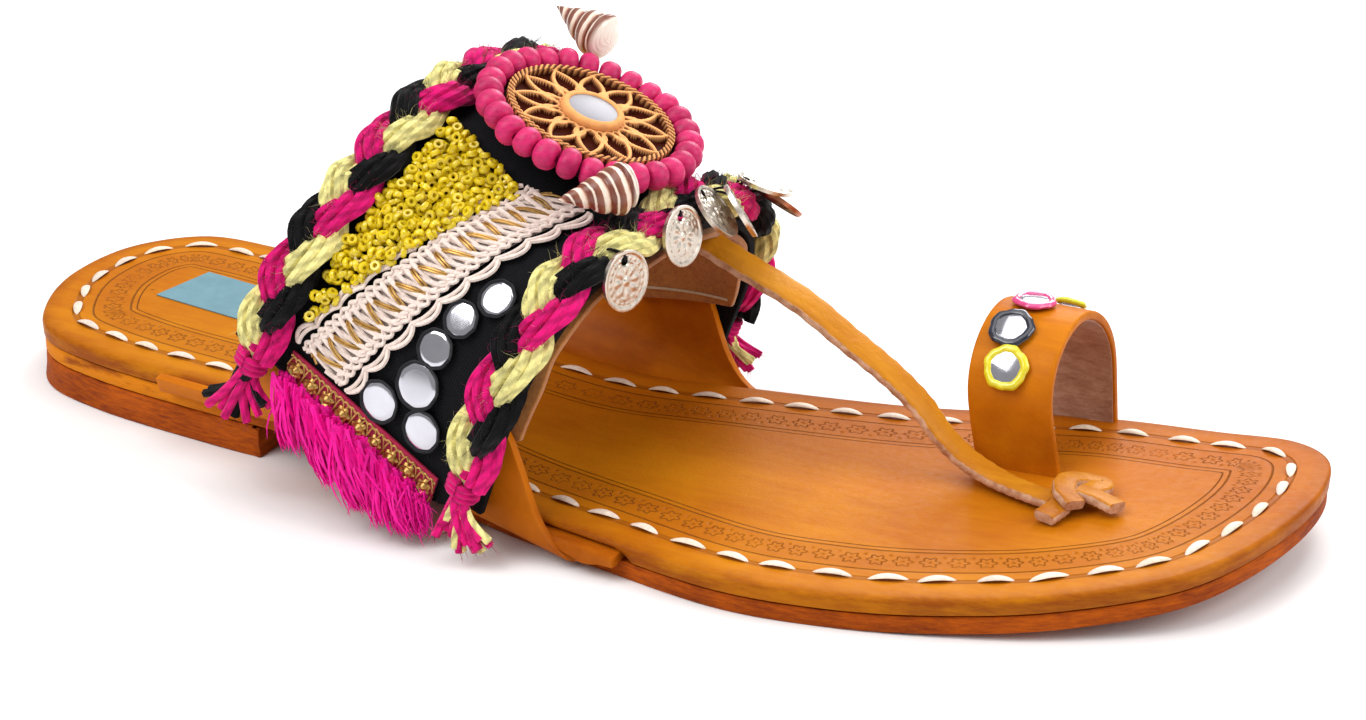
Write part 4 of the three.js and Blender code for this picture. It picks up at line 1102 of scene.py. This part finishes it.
# %% Gold ribbon
ROSETTE = [(0, 0.0), (1.5, 0.0), (1.6, 0.35), (1.25, 0.75), (0.85, 0.5), (0.55, 0.8), (0.3, 1.05), (0, 1.1)]
net = dyed("crimson_net", 0.8, 1200, 0.1)
t = np.linspace(0.002, 0.998, 130)
runs = [(line * 0.8 + 0.1 + 0.03 * np.sin(150 * t), 1.2 + 0.1 * np.cos(150 * t), 0.2) for line in (0.05, 0.95)]
for shift in (0, 0.5):
    wave = TAU * (9 * t + shift)
    runs.append((0.5 + 0.40 * np.sin(wave), 1.35 + 0.2 * np.cos(wave), 0.17))
for side, place in SIDES:
    strip = laid_grid("ribbon", 60, 8, lambda s, t: on_patch(GOTA, side, t, s, 0.85)[0])
    done(tinted(walled(strip, 0.5), CRIMSON), net, "gold_trim")
    parts = [cord(GOTA, side, t, *run, GOLD) for run in runs]
    spots = []
    for k in range(9):
        point, over = on_patch(GOTA, side, (k + 0.5) / 9, 0.5 + chance.uniform(-0.06, 0.06), 1.1)
        spots.append((point[0], axes_to(over[0], chance.uniform(0, 1))[[1, 2, 0]] * chance.uniform(0.92, 1.05)))
    rosette = lathe("rosette", ROSETTE, 30, lambda a, r: 1 + 0.16 * np.cos(6 * a) * np.clip(r - 0.8, 0, 1))
    parts.append(tinted(copies("rosettes", rosette, spots), GOLD))
    done(join(f"gold_ribbon_{place}", parts), gold, "gold_trim", f"gota_{place}")

# %% Fur fringe
FUR_LOCKS, LOCK_HAIRS = 12, 80
pile = dyed("fur_pile", 0.60, 1500, 0.02, Specular_IOR_Level=0.25)
for side, place in SIDES:
    roots, dyes = [], []
    for k in range(FUR_LOCKS):
        q = (k + 0.5) / FUR_LOCKS
        u, v = 0.11 + 0.74 * q, sided(side, 0.012 - 0.048 * q)
        root, over = band(u, v, 2.0)[0], band_normal(u, v)[0]
        long = chance.uniform(10, 14.5)
        tip = root + np.array([2.5 + chance.uniform(-2, 3), side * chance.uniform(1.0, 3.5), -long])
        tip[2] = max(tip[2], floor_gap(tip[0]) + 1.5)
        for _ in range(LOCK_HAIRS):
            start = root + np.array([chance.uniform(-1.9, 1.9), 0, chance.uniform(-1.2, 1.2)]) \
                + over * chance.uniform(-1.3, 1.6)
            loose = chance.random() ** 3
            end = tip + np.array([chance.uniform(-1, 1), chance.uniform(-1, 1), chance.uniform(-.6, 1.5)]) \
                * (0.42 + 3.0 * loose)
            end[2] = max(end[2], floor_gap(end[0]) + 0.8)
            line = end - start
            roots.append((start, axes_to(line, chance.uniform(0, 6.28), np.linalg.norm(line) / 10)))
            dyes.append(shaded((0.95, 0.004, 0.34), 0.85, 1.1))
    fur = copies(f"fur_hairs_{place}", hair_master(0.30, bend=2.3, steps=6), roots, dyes)
    done(fur, pile, "fur", f"fur_{place}")

# %% [markdown]
# ## The medallion
# A thin wooden disc is cut into a flower: the petals' outlines stand up in pale wood, and the
# hollows are dark. It is a polar grid whose height and colour follow the distance from the
# petals' outlines. A mirror is set in its middle, and turned pink beads lie round it.

# %% Carved wood
lean = math.radians(21)
AHEAD, ACROSS = np.array([math.cos(lean), 0, -math.sin(lean)]), np.array([0, 1.0, 0])
FACE = np.cross(AHEAD, ACROSS)
HEART = band(0.525, 0.533, 3.6)[0]
MEDALLION = np.array([AHEAD, ACROSS, FACE])
WOOD_RADIUS, HOLLOW = 16.2, -0.2


def carving(r, angle):
    """Height and paleness of the carved face."""
    height, pale = np.full(r.shape, HOLLOW), np.zeros(r.shape)
    step = TAU / 12
    for ring, end, widest, top, slope in ((0, 14.6, 2.25, 1.9, 0.42), (1, 10.2, 1.0, 1.8, 0.24)):
        start = 6.2
        local = (angle + ring * step / 2 + step / 2) % step - step / 2
        x, y = r * np.cos(local), r * np.sin(local)
        q = np.clip((x - start) / (end - start), 0, 1)
        line = np.abs(np.abs(y) - widest * np.sin(np.pi * q ** 0.85) ** 0.8)
        line = np.where((x < start) | (x > end), np.hypot(x - np.clip(x, start, end), y), line)
        ridge = np.clip(top - line / slope, 0, 1)
        height = np.maximum(height, HOLLOW + 1.35 * ridge)
        pale = np.maximum(pale, np.clip((ridge - 0.8) / 0.2, 0, 1))
    rim = smooth(14.7, 14.95, r)
    notch = 0.5 + 0.5 * np.sin(72 * angle + 5 * (r - 15.5))
    height = np.maximum(height, rim * (1.25 + 0.35 * notch))
    pale = np.maximum(pale, rim * (0.05 + 0.85 * smooth(0.45, 0.80, notch)))
    collar = 1 - smooth(6.4, 6.7, r)
    return np.maximum(height, collar * 1.2), np.maximum(pale, collar * 0.5)


def disc_at(s, t):
    """From the middle of the underside out, up the side, and in again over the carved face."""
    angle = TAU * s
    face = 1 - np.clip((t - 0.12) / 0.88, 0, 1)
    r = WOOD_RADIUS * np.where(t < 0.06, t / 0.06, np.where(t < 0.12, 1, face))
    z = np.where(t < 0.12, -1.5 + 2.9 * np.clip((t - 0.06) / 0.06, 0, 1), carving(r, angle)[0])
    return xyz(r * np.cos(angle), r * np.sin(angle), z)


disc = weld(laid_grid("medallion_wood", 100, 288, disc_at), caps=False)
points = read(disc.data.vertices, "co", 3) / MM
_, pale = carving(np.hypot(points[:, 0], points[:, 1]), np.arctan2(points[:, 1], points[:, 0]) % TAU)
pale = np.where(points[:, 2] < 0.6, pale * 0.2, pale)[:, None]
disc.data.vertices.foreach_set("co", (HEART + points @ MEDALLION).ravel() * MM)
dye_points(disc.data, (1 - pale) * np.array([0.050, 0.006, 0.002]) + pale * np.array([1.0, 0.46, 0.17]))
disc.data.update()
wood = dyed("carved_wood", 0.65, 500, 0.08, Specular_IOR_Level=0.04)
wood.bump(wood.noise(190, wood.place((1, 6, 1)), detail=6), 0.10, 0.5)
done(disc, wood, "wood", "medallion", angle=50)

# %% Mirror in its ring, and the black cloth behind the disc, darkening the gap round it as painted shade
MIDDLE = [
    ("medallion_glass", [(0, 1.3), (5.0, 1.3), (5.0, 2.2), (4.6, 2.35), (0, 2.4)],
     None, mirror_with_painted_reflection, "mirror", "medallion_mirror"),
    # A black cloth disc behind the wood, whose dark fills the gap between the bead ring and the wood as painted
    # shade.
    ("medallion_backing", [(0, -2.3), (18.4, -2.3), (18.6, -2.0), (18.4, -1.7), (0, -1.7)],
     None, cloth, "black_cloth"),
    ("medallion_bezel", [(5.0, 1.3), (6.1, 1.3), (6.2, 1.9), (5.9, 2.45), (5.4, 2.65), (4.9, 2.6),
                         (4.7, 2.35), (5.0, 2.2), (5.0, 1.3)], [(0.86, 0.40, 0.14)], wood, "wood")]
for name, profile, dyes, finish, slot, *nodes in MIDDLE:
    done(copies(name, lathe("turned", profile, 48), [(HEART, MEDALLION)], dyes), finish, slot, *nodes)

# %% Bead ring
BEADS, BEAD_CIRCLE, BORE = 28, 19.4, 0.75
paint = dyed("painted_beads", 0.45, 900, 0.05, Coat_Weight=0.06, Coat_Roughness=0.3, Specular_IOR_Level=0.25)
grain = paint.noise(260, paint.place((1, 1, 5)), detail=7)
paint.bump(grain, 0.12, 0.5)
paint.set(Base_Color=paint.mixed(0.5, paint.tone, paint.ramp(grain, (0.35, (0.45, 0.42, 0.45)), (0.6, 1.0)),
                                 "MULTIPLY"))
half = [(BORE + 2.12 * math.sin(a) ** 0.75, -2.16 * math.cos(a)) for a in np.linspace(0, np.pi, 11)]
bead = lathe("bead", [(BORE, -2.1), *half, (BORE, -2.1)], 20)
places, dyes = [], []
for k in range(BEADS):
    a = TAU * (k + 0.5) / BEADS
    out = AHEAD * math.cos(a) + ACROSS * math.sin(a)
    thread = unit(ACROSS * math.cos(a) - AHEAD * math.sin(a) + jitter(.12))
    size = chance.uniform(0.94, 1.03)
    x = unit(out - thread * np.dot(out, thread))
    spot = HEART + out * BEAD_CIRCLE + FACE * chance.uniform(-.25, .25)
    axes = np.array([x * size, np.cross(thread, x) * size, thread * chance.uniform(0.9, 1.0)])
    places.append((spot, axes))
    dyes.append(shaded((0.72, 0.022, 0.155), 0.82, 1.08))
done(copies("pink_beads", bead, places, dyes), paint, "beads", "bead_ring", angle=70)

# %% [markdown]
# ## Shells
# The two shells are small sea snails. Their whorls climb in one spiral, so the radius is a smooth
# envelope times a bulge that repeats once a turn and shifts with the angle. The stripes follow the
# same spiral.

# %% Two shells
WHORLS = 4
STRIPES = [(0.0, (0.50, 0.26, 0.16)), (0.08, (0.20, 0.042, 0.016)), (0.30, (0.15, 0.032, 0.014)),
           (0.34, (0.82, 0.66, 0.54)), (0.40, (0.82, 0.66, 0.54)), (0.44, (0.16, 0.035, 0.015)),
           (0.72, (0.24, 0.07, 0.032)), (0.77, (0.84, 0.70, 0.58)), (0.92, (0.80, 0.62, 0.50)),
           (1.0, (0.55, 0.36, 0.26))]
nacre = Finish("sea_shell", Coat_Weight=0.35, Coat_Roughness=0.15)
u, v, _ = nacre.split(nacre.uv())
turns = nacre.minus(nacre.times(v, float(WHORLS)), u)
ripple = nacre.times(nacre.noise(220, detail=5), 0.25)
bands = nacre.ramp(nacre.math("FRACT", nacre.plus(turns, ripple)), *STRIPES)
lip = nacre.ramp(v, (0.86, 0.0), (0.93, 1.0))
nacre.set(Base_Color=nacre.mixed(lip, bands, (0.86, 0.78, 0.68)),
          Roughness=nacre.ramp(ripple, (0.05, 0.25), (0.2, 0.5)))
nacre.bump(nacre.math("SINE", nacre.times(turns, 60.0)), 0.05, 0.5)


def shell_at(s, t):
    angle = TAU * s
    envelope = 4.7 * np.interp(t, [0, .1, .3, .5, .7, .82, .92, .97, 1],
                               [.03, .17, .45, .72, .93, 1, .84, .55, 0.0])
    r = envelope * (0.84 + 0.20 * np.sin(np.pi * ((WHORLS * t - s) % 1.0)) ** 0.6)
    twist = 0.10 * envelope * smooth(0.6, 0.9, t)
    return xyz(15 * t, r * np.cos(angle) + twist, r * np.sin(angle))


SHELLS = [("front", (.843, .354, 12.1), (.999, .430, 12.1), 0.8), ("back", (-.070, .661, 13.7), (.314, .647, 12.3), 2.4)]
for place, tip, mouth, roll in SHELLS:
    start = band(*tip)[0]
    body = weld(laid_grid("shell", 90, 40, shell_at), caps=False)
    shell = copies(f"sea_shell_{place}", body, [(start, axes_to(band(*mouth)[0] - start, roll))])
    done(shell, nacre, "shell", f"shell_{place}", angle=60)

# %% [markdown]
# ## Coins
# The coins are thin stamped discs. The plate is a grid between the small hole and the rim, closed
# round the edge. The stamp, a flower in a ring of dots, is a height on both faces.

# %% Coins and their threads
COIN_RINGS, COIN_RADIUS, HOLE_PLACE, HOLE_RADIUS = 26, 5.6, 3.7, 0.9
SILVER, COPPER = (0.80, 0.72, 0.62), (0.55, 0.20, 0.10)
COINS = [  # u, v and height over the cloth, facing and pitch in degrees
    (1.154, .354, .9, -14, 4), (1.166, .461, 3.9, -8, 8), (1.171, .528, 5.9, 16, 40),
    (1.208, .569, 5.8, 36, 30), (1.106, .677, 8.8, 50, 70), (1.155, .701, 7.2, 60, 50)]


def tent(value, width):
    return np.clip(1 - np.abs(value) / width, 0, 1)


def stamp(x, y):
    r, a = np.hypot(x, y), np.arctan2(y, x)
    return np.maximum.reduce([
        smooth(4.8, 5.05, r) * 0.20,
        0.20 * np.clip(np.cos(20 * a), 0, 1) ** 0.7 * tent(r - 4.15, 0.42),
        0.24 * np.clip(np.cos(8 * a), 0, 1) ** 0.6 * tent(r - 2.2, 1.05) ** 0.7,
        0.12 * tent(r - 3.4, 0.16),
        0.26 * (1 - smooth(0.5, 0.9, r))])


def coin_at(s, t):
    a = TAU * s
    i = np.rint(t * 2 * COIN_RINGS).astype(int)
    q = (COIN_RINGS - np.abs(i - COIN_RINGS)) / COIN_RINGS
    hole = xyz(HOLE_RADIUS * np.cos(a), HOLE_PLACE + HOLE_RADIUS * np.sin(a))
    flat = hole * (1 - q)[:, None] + COIN_RADIUS * xyz(np.cos(a), np.sin(a)) * q[:, None]
    z = np.where((q < 0.02) | (q > 0.98), 0.18, 0.24) + stamp(flat[:, 0], flat[:, 1])
    return xyz(flat, np.where(q == 0, 0.0, np.where(i <= COIN_RINGS, z, -z)))


metal = dyed("stamped_coin", 0.33, 900, 0.03, Metallic=1.0)
threads = []
for k, (u, v, h, facing, pitch) in enumerate(COINS):
    turn = Matrix.Rotation(math.radians(90 + facing), 3, "Z") @ Matrix.Rotation(math.radians(90 - pitch), 3, "X")
    axes = np.array(turn.transposed())
    centre = band(u, v, h)[0]
    plate = weld(laid_grid("coin", 2 * COIN_RINGS, 72, coin_at), caps=False)
    tone = shaded(COPPER if k == 5 else SILVER, 0.95, 1.05)
    done(copies(f"stamped_coin_{k + 1}", plate, [(centre, axes)], [tone]), metal, "coin", f"coin_{k + 1}")
    hole = centre + axes[1] * HOLE_PLACE
    knot = band(1 + pushed(FRONT_PUSH, v), v, 4.6)[0]
    for sign in (-1, 1):
        middle = hole + axes[1] * 2.6 + axes[2] * 1.1 * sign
        path = bow(hole, middle, knot, np.linspace(0, 1, 15)[:, None]) + axes[2] * 0.12 * sign
        threads.append(tube("coin_thread", path, 0.26, axes[0]))
done(tinted(join("coin_threads", threads), (0.01, 0.01, 0.012)), wool, "black_cloth")

# %% [markdown]
# ## The toe loop
# A wide strap comes up through a slot, goes over the big toe and down again. It is bent from one
# sheet, smooth outside and rough inside. Four painted mirrors are glued on it.

# %% Toe loop
LOOP_X, LOOP_Y, LOOP_SPAN, LOOP_WIDTH, LOOP_TOP = 0.784 * FOOT - HEEL_BACK, 29.0, 28.4, 16.5, 26.2
LEAN = np.array([(2.5, 0, 0), (-.8, 0, 0), (-.6, 0, 0), (1.6, 0, 0), (3.2, 0, 0)])


def loop_at(t, s, h):
    t, s, h = rows_of(t, s, h)
    base = outsole_top(LOOP_X) + 0.5
    depth, arc = LAYER + LOOP_TOP - LOOP_SPAN / 2, np.pi * LOOP_SPAN / 2
    run = t * (2 * depth + arc)
    x = LOOP_X + through(LEAN, t)[:, 0] + (s - 0.5) * LOOP_WIDTH
    radius = LOOP_SPAN / 2 + h
    foot = outsole_top(x) + 0.5
    turn = np.clip((run - depth) / arc, 0, 1) * np.pi
    leg = np.clip(np.minimum(run, 2 * depth + arc - run) / depth, 0, 1)
    straight = foot + (base + depth - foot) * leg
    z = np.where((run < depth) | (run > depth + arc), straight, base + depth + radius * np.sin(turn))
    return xyz(x, LOOP_Y - radius * np.cos(turn), z)


arch = walled(laid_grid("toe_loop_leather", 72, 14, lambda s, t: loop_at(t, s, 0)), 1.75, bevel=0.4)
done(arch, strap_leather, "tan_leather", "toe_loop")
flesh = Finish("leather_flesh", Roughness=0.9, Sheen_Weight=0.3)
nap = flesh.noise(240, flesh.place((1, 3, 3)), detail=9, rough=0.8)
flesh.set(Base_Color=flesh.ramp(nap, (0.32, (0.30, 0.12, 0.06)), (0.66, (0.62, 0.38, 0.26))))
flesh.bump(nap, 0.35, 1.0)
inside = laid_grid("toe_loop_flesh", 72, 14, lambda s, t: loop_at(0.03 + 0.94 * t, 0.03 + 0.94 * s, -1.0))
done(walled(inside, 0.16), flesh, "suede")

# %% Toe mirrors
TOE_MIRRORS = [(.300, .45, 4.3, (0.85, 0.75, 0.02)), (.395, .37, 4.3, (0.012, 0.014, 0.03)),
               (.508, .40, 4.1, (0.80, 0.06, 0.25)), (.612, .62, 3.0, (0.75, 0.80, 0.05))]
relief = dyed("relief_paint", 0.22, 500, 0.08, Coat_Weight=0.6, Coat_Roughness=0.1)
rims = []
for k, (part, share, radius, color) in enumerate(TOE_MIRRORS):
    spot, above = (loop_at(part, share, h)[0] for h in (1.5, 2.5))
    out = unit(above - spot)
    along = unit(np.array([1, 0, 0]) - out * out[0])
    axes = np.array([along, np.cross(out, along), out])
    edge = radius - 1.0
    disc = lathe("glass", [(0, -0.3), (edge, -0.3), (edge, 0.5), (edge - 0.3, 0.62), (0, 0.62)], 36)
    done(copies(f"toe_glass_{k + 1}", disc, [(spot, axes)]), mirror, "mirror", f"toe_mirror_{k + 1}")
    border = ring_master("border", radius - 0.80, 0.86, 44, 10, 0.72,
                         lambda a: 1 + 0.035 * np.sin(5 * a + k) + 0.02 * np.sin(11 * a))
    rims.append(copies("border", border, [(spot + out * 0.25, axes)], [color]))
done(join("toe_mirror_borders", rims), relief, "mirror")

# %% [markdown]
# ## The thong
# A narrow strip of the same leather runs from under the band to the foot of the toe loop, where it
# is turned once round itself. Its top keeps the tan skin and its edges and back are raw and pale.

# %% Thong and knot
def strap(name, rows, count, upward, wide, tall):
    path = through(np.array(rows, float), np.linspace(0, 1, count))
    wide = np.broadcast_to(wide, count)

    def section(i, a):
        c, d = np.cos(a + np.pi / 2), np.sin(a + np.pi / 2)
        x = wide[i] * np.sign(c) * np.abs(c) ** 0.40 * (1 + 0.04 * np.sin(1.7 * i))
        return x, tall * np.sign(d) * np.abs(d) ** 0.45
    return stretched(swept(name, path, upward, 16, section), 1, length_of(path))


raw = tan_leather("thong_leather", light=(0.60, 0.24, 0.012), deep=(0.36, 0.10, 0.006), gloss=0.42, coat=0.1)
u, v, _ = raw.split(raw.uv())
ragged = raw.math("MULTIPLY_ADD", raw.noise(260, detail=7), 0.14, raw.math("ABSOLUTE", raw.minus(u, 0.5)))
back_share = raw.math("MAXIMUM", raw.ramp(ragged, (0.37, 1.0), (0.42, 0.0)), raw.math("LESS_THAN", v, 0.02))
pale_back = raw.ramp(raw.noise(420, detail=6), (0.35, (0.40, 0.19, 0.10)), (0.65, (0.72, 0.47, 0.32)))
raw.set(Base_Color=raw.mixed(back_share, raw.tone, pale_back))
raw.bump(raw.noise(150, detail=6), 0.60, 1.0)

THONG = [(105.5, 10.4, 46.2), (112.5, 9.2, 43.9), (121.5, 7.6, 41.0), (134.5, 6.6, 36.4), (145, 6, 30.6),
         (153.2, 6.1, 25.6), (159.6, 6.2, 20.6), (164, 6.2, 15.6), (169, 6.3, 11.6), (175.5, 5, 9.6),
         (181, 3, 9.4), (185.6, 1.2, 9.7), (188.8, 0.2, 9.9)]
KNOT = [(44, [(187, 1.6, 1.8), (190.6, 3.4, 2.2), (194.2, 6.4, 2.2), (194.6, 9.6, 1.9), (191.2, 9.2, 2.6),
              (189.6, 5, 4), (190.6, .4, 4), (193.6, -2.2, 2.8)]),
        (22, [(191, 1, 2.4), (190.4, -2.6, 1.9), (189.4, -6.4, 1.6)]),
        (22, [(192, 3.5, 3), (196.5, 2.6, 2.4), (200.5, .8, 1.9)])]
thong = strap("thong_strap", THONG, 110, (.5, -.25, 1), np.linspace(3.5, 2.1, 110), 1.1)
done(thong, raw, "tan_leather", "toe_thong")
parts = [strap("knot_strip", [(x, y, insole_top(x) + z) for x, y, z in rows], count, (.1, .1, 1), 2.15, 1.0)
         for count, rows in KNOT]
done(join("knot_strips", parts), raw, "tan_leather", "thong_knot")

# %% [markdown]
# ## The floor and the end
# The floor is a pale sheet that fades into the light, as in a studio.

# %% Floor
bpy.ops.mesh.primitive_plane_add(size=6, location=(0, 0, 0))
floor = bpy.context.object
floor.name = "floor"
paper = Finish("floor_paper", Roughness=0.8)
paper.set(Base_Color=paper.ramp(paper.noise(3), (0.3, 0.86), (0.7, 0.90)))
floor.data.materials.append(paper.material)
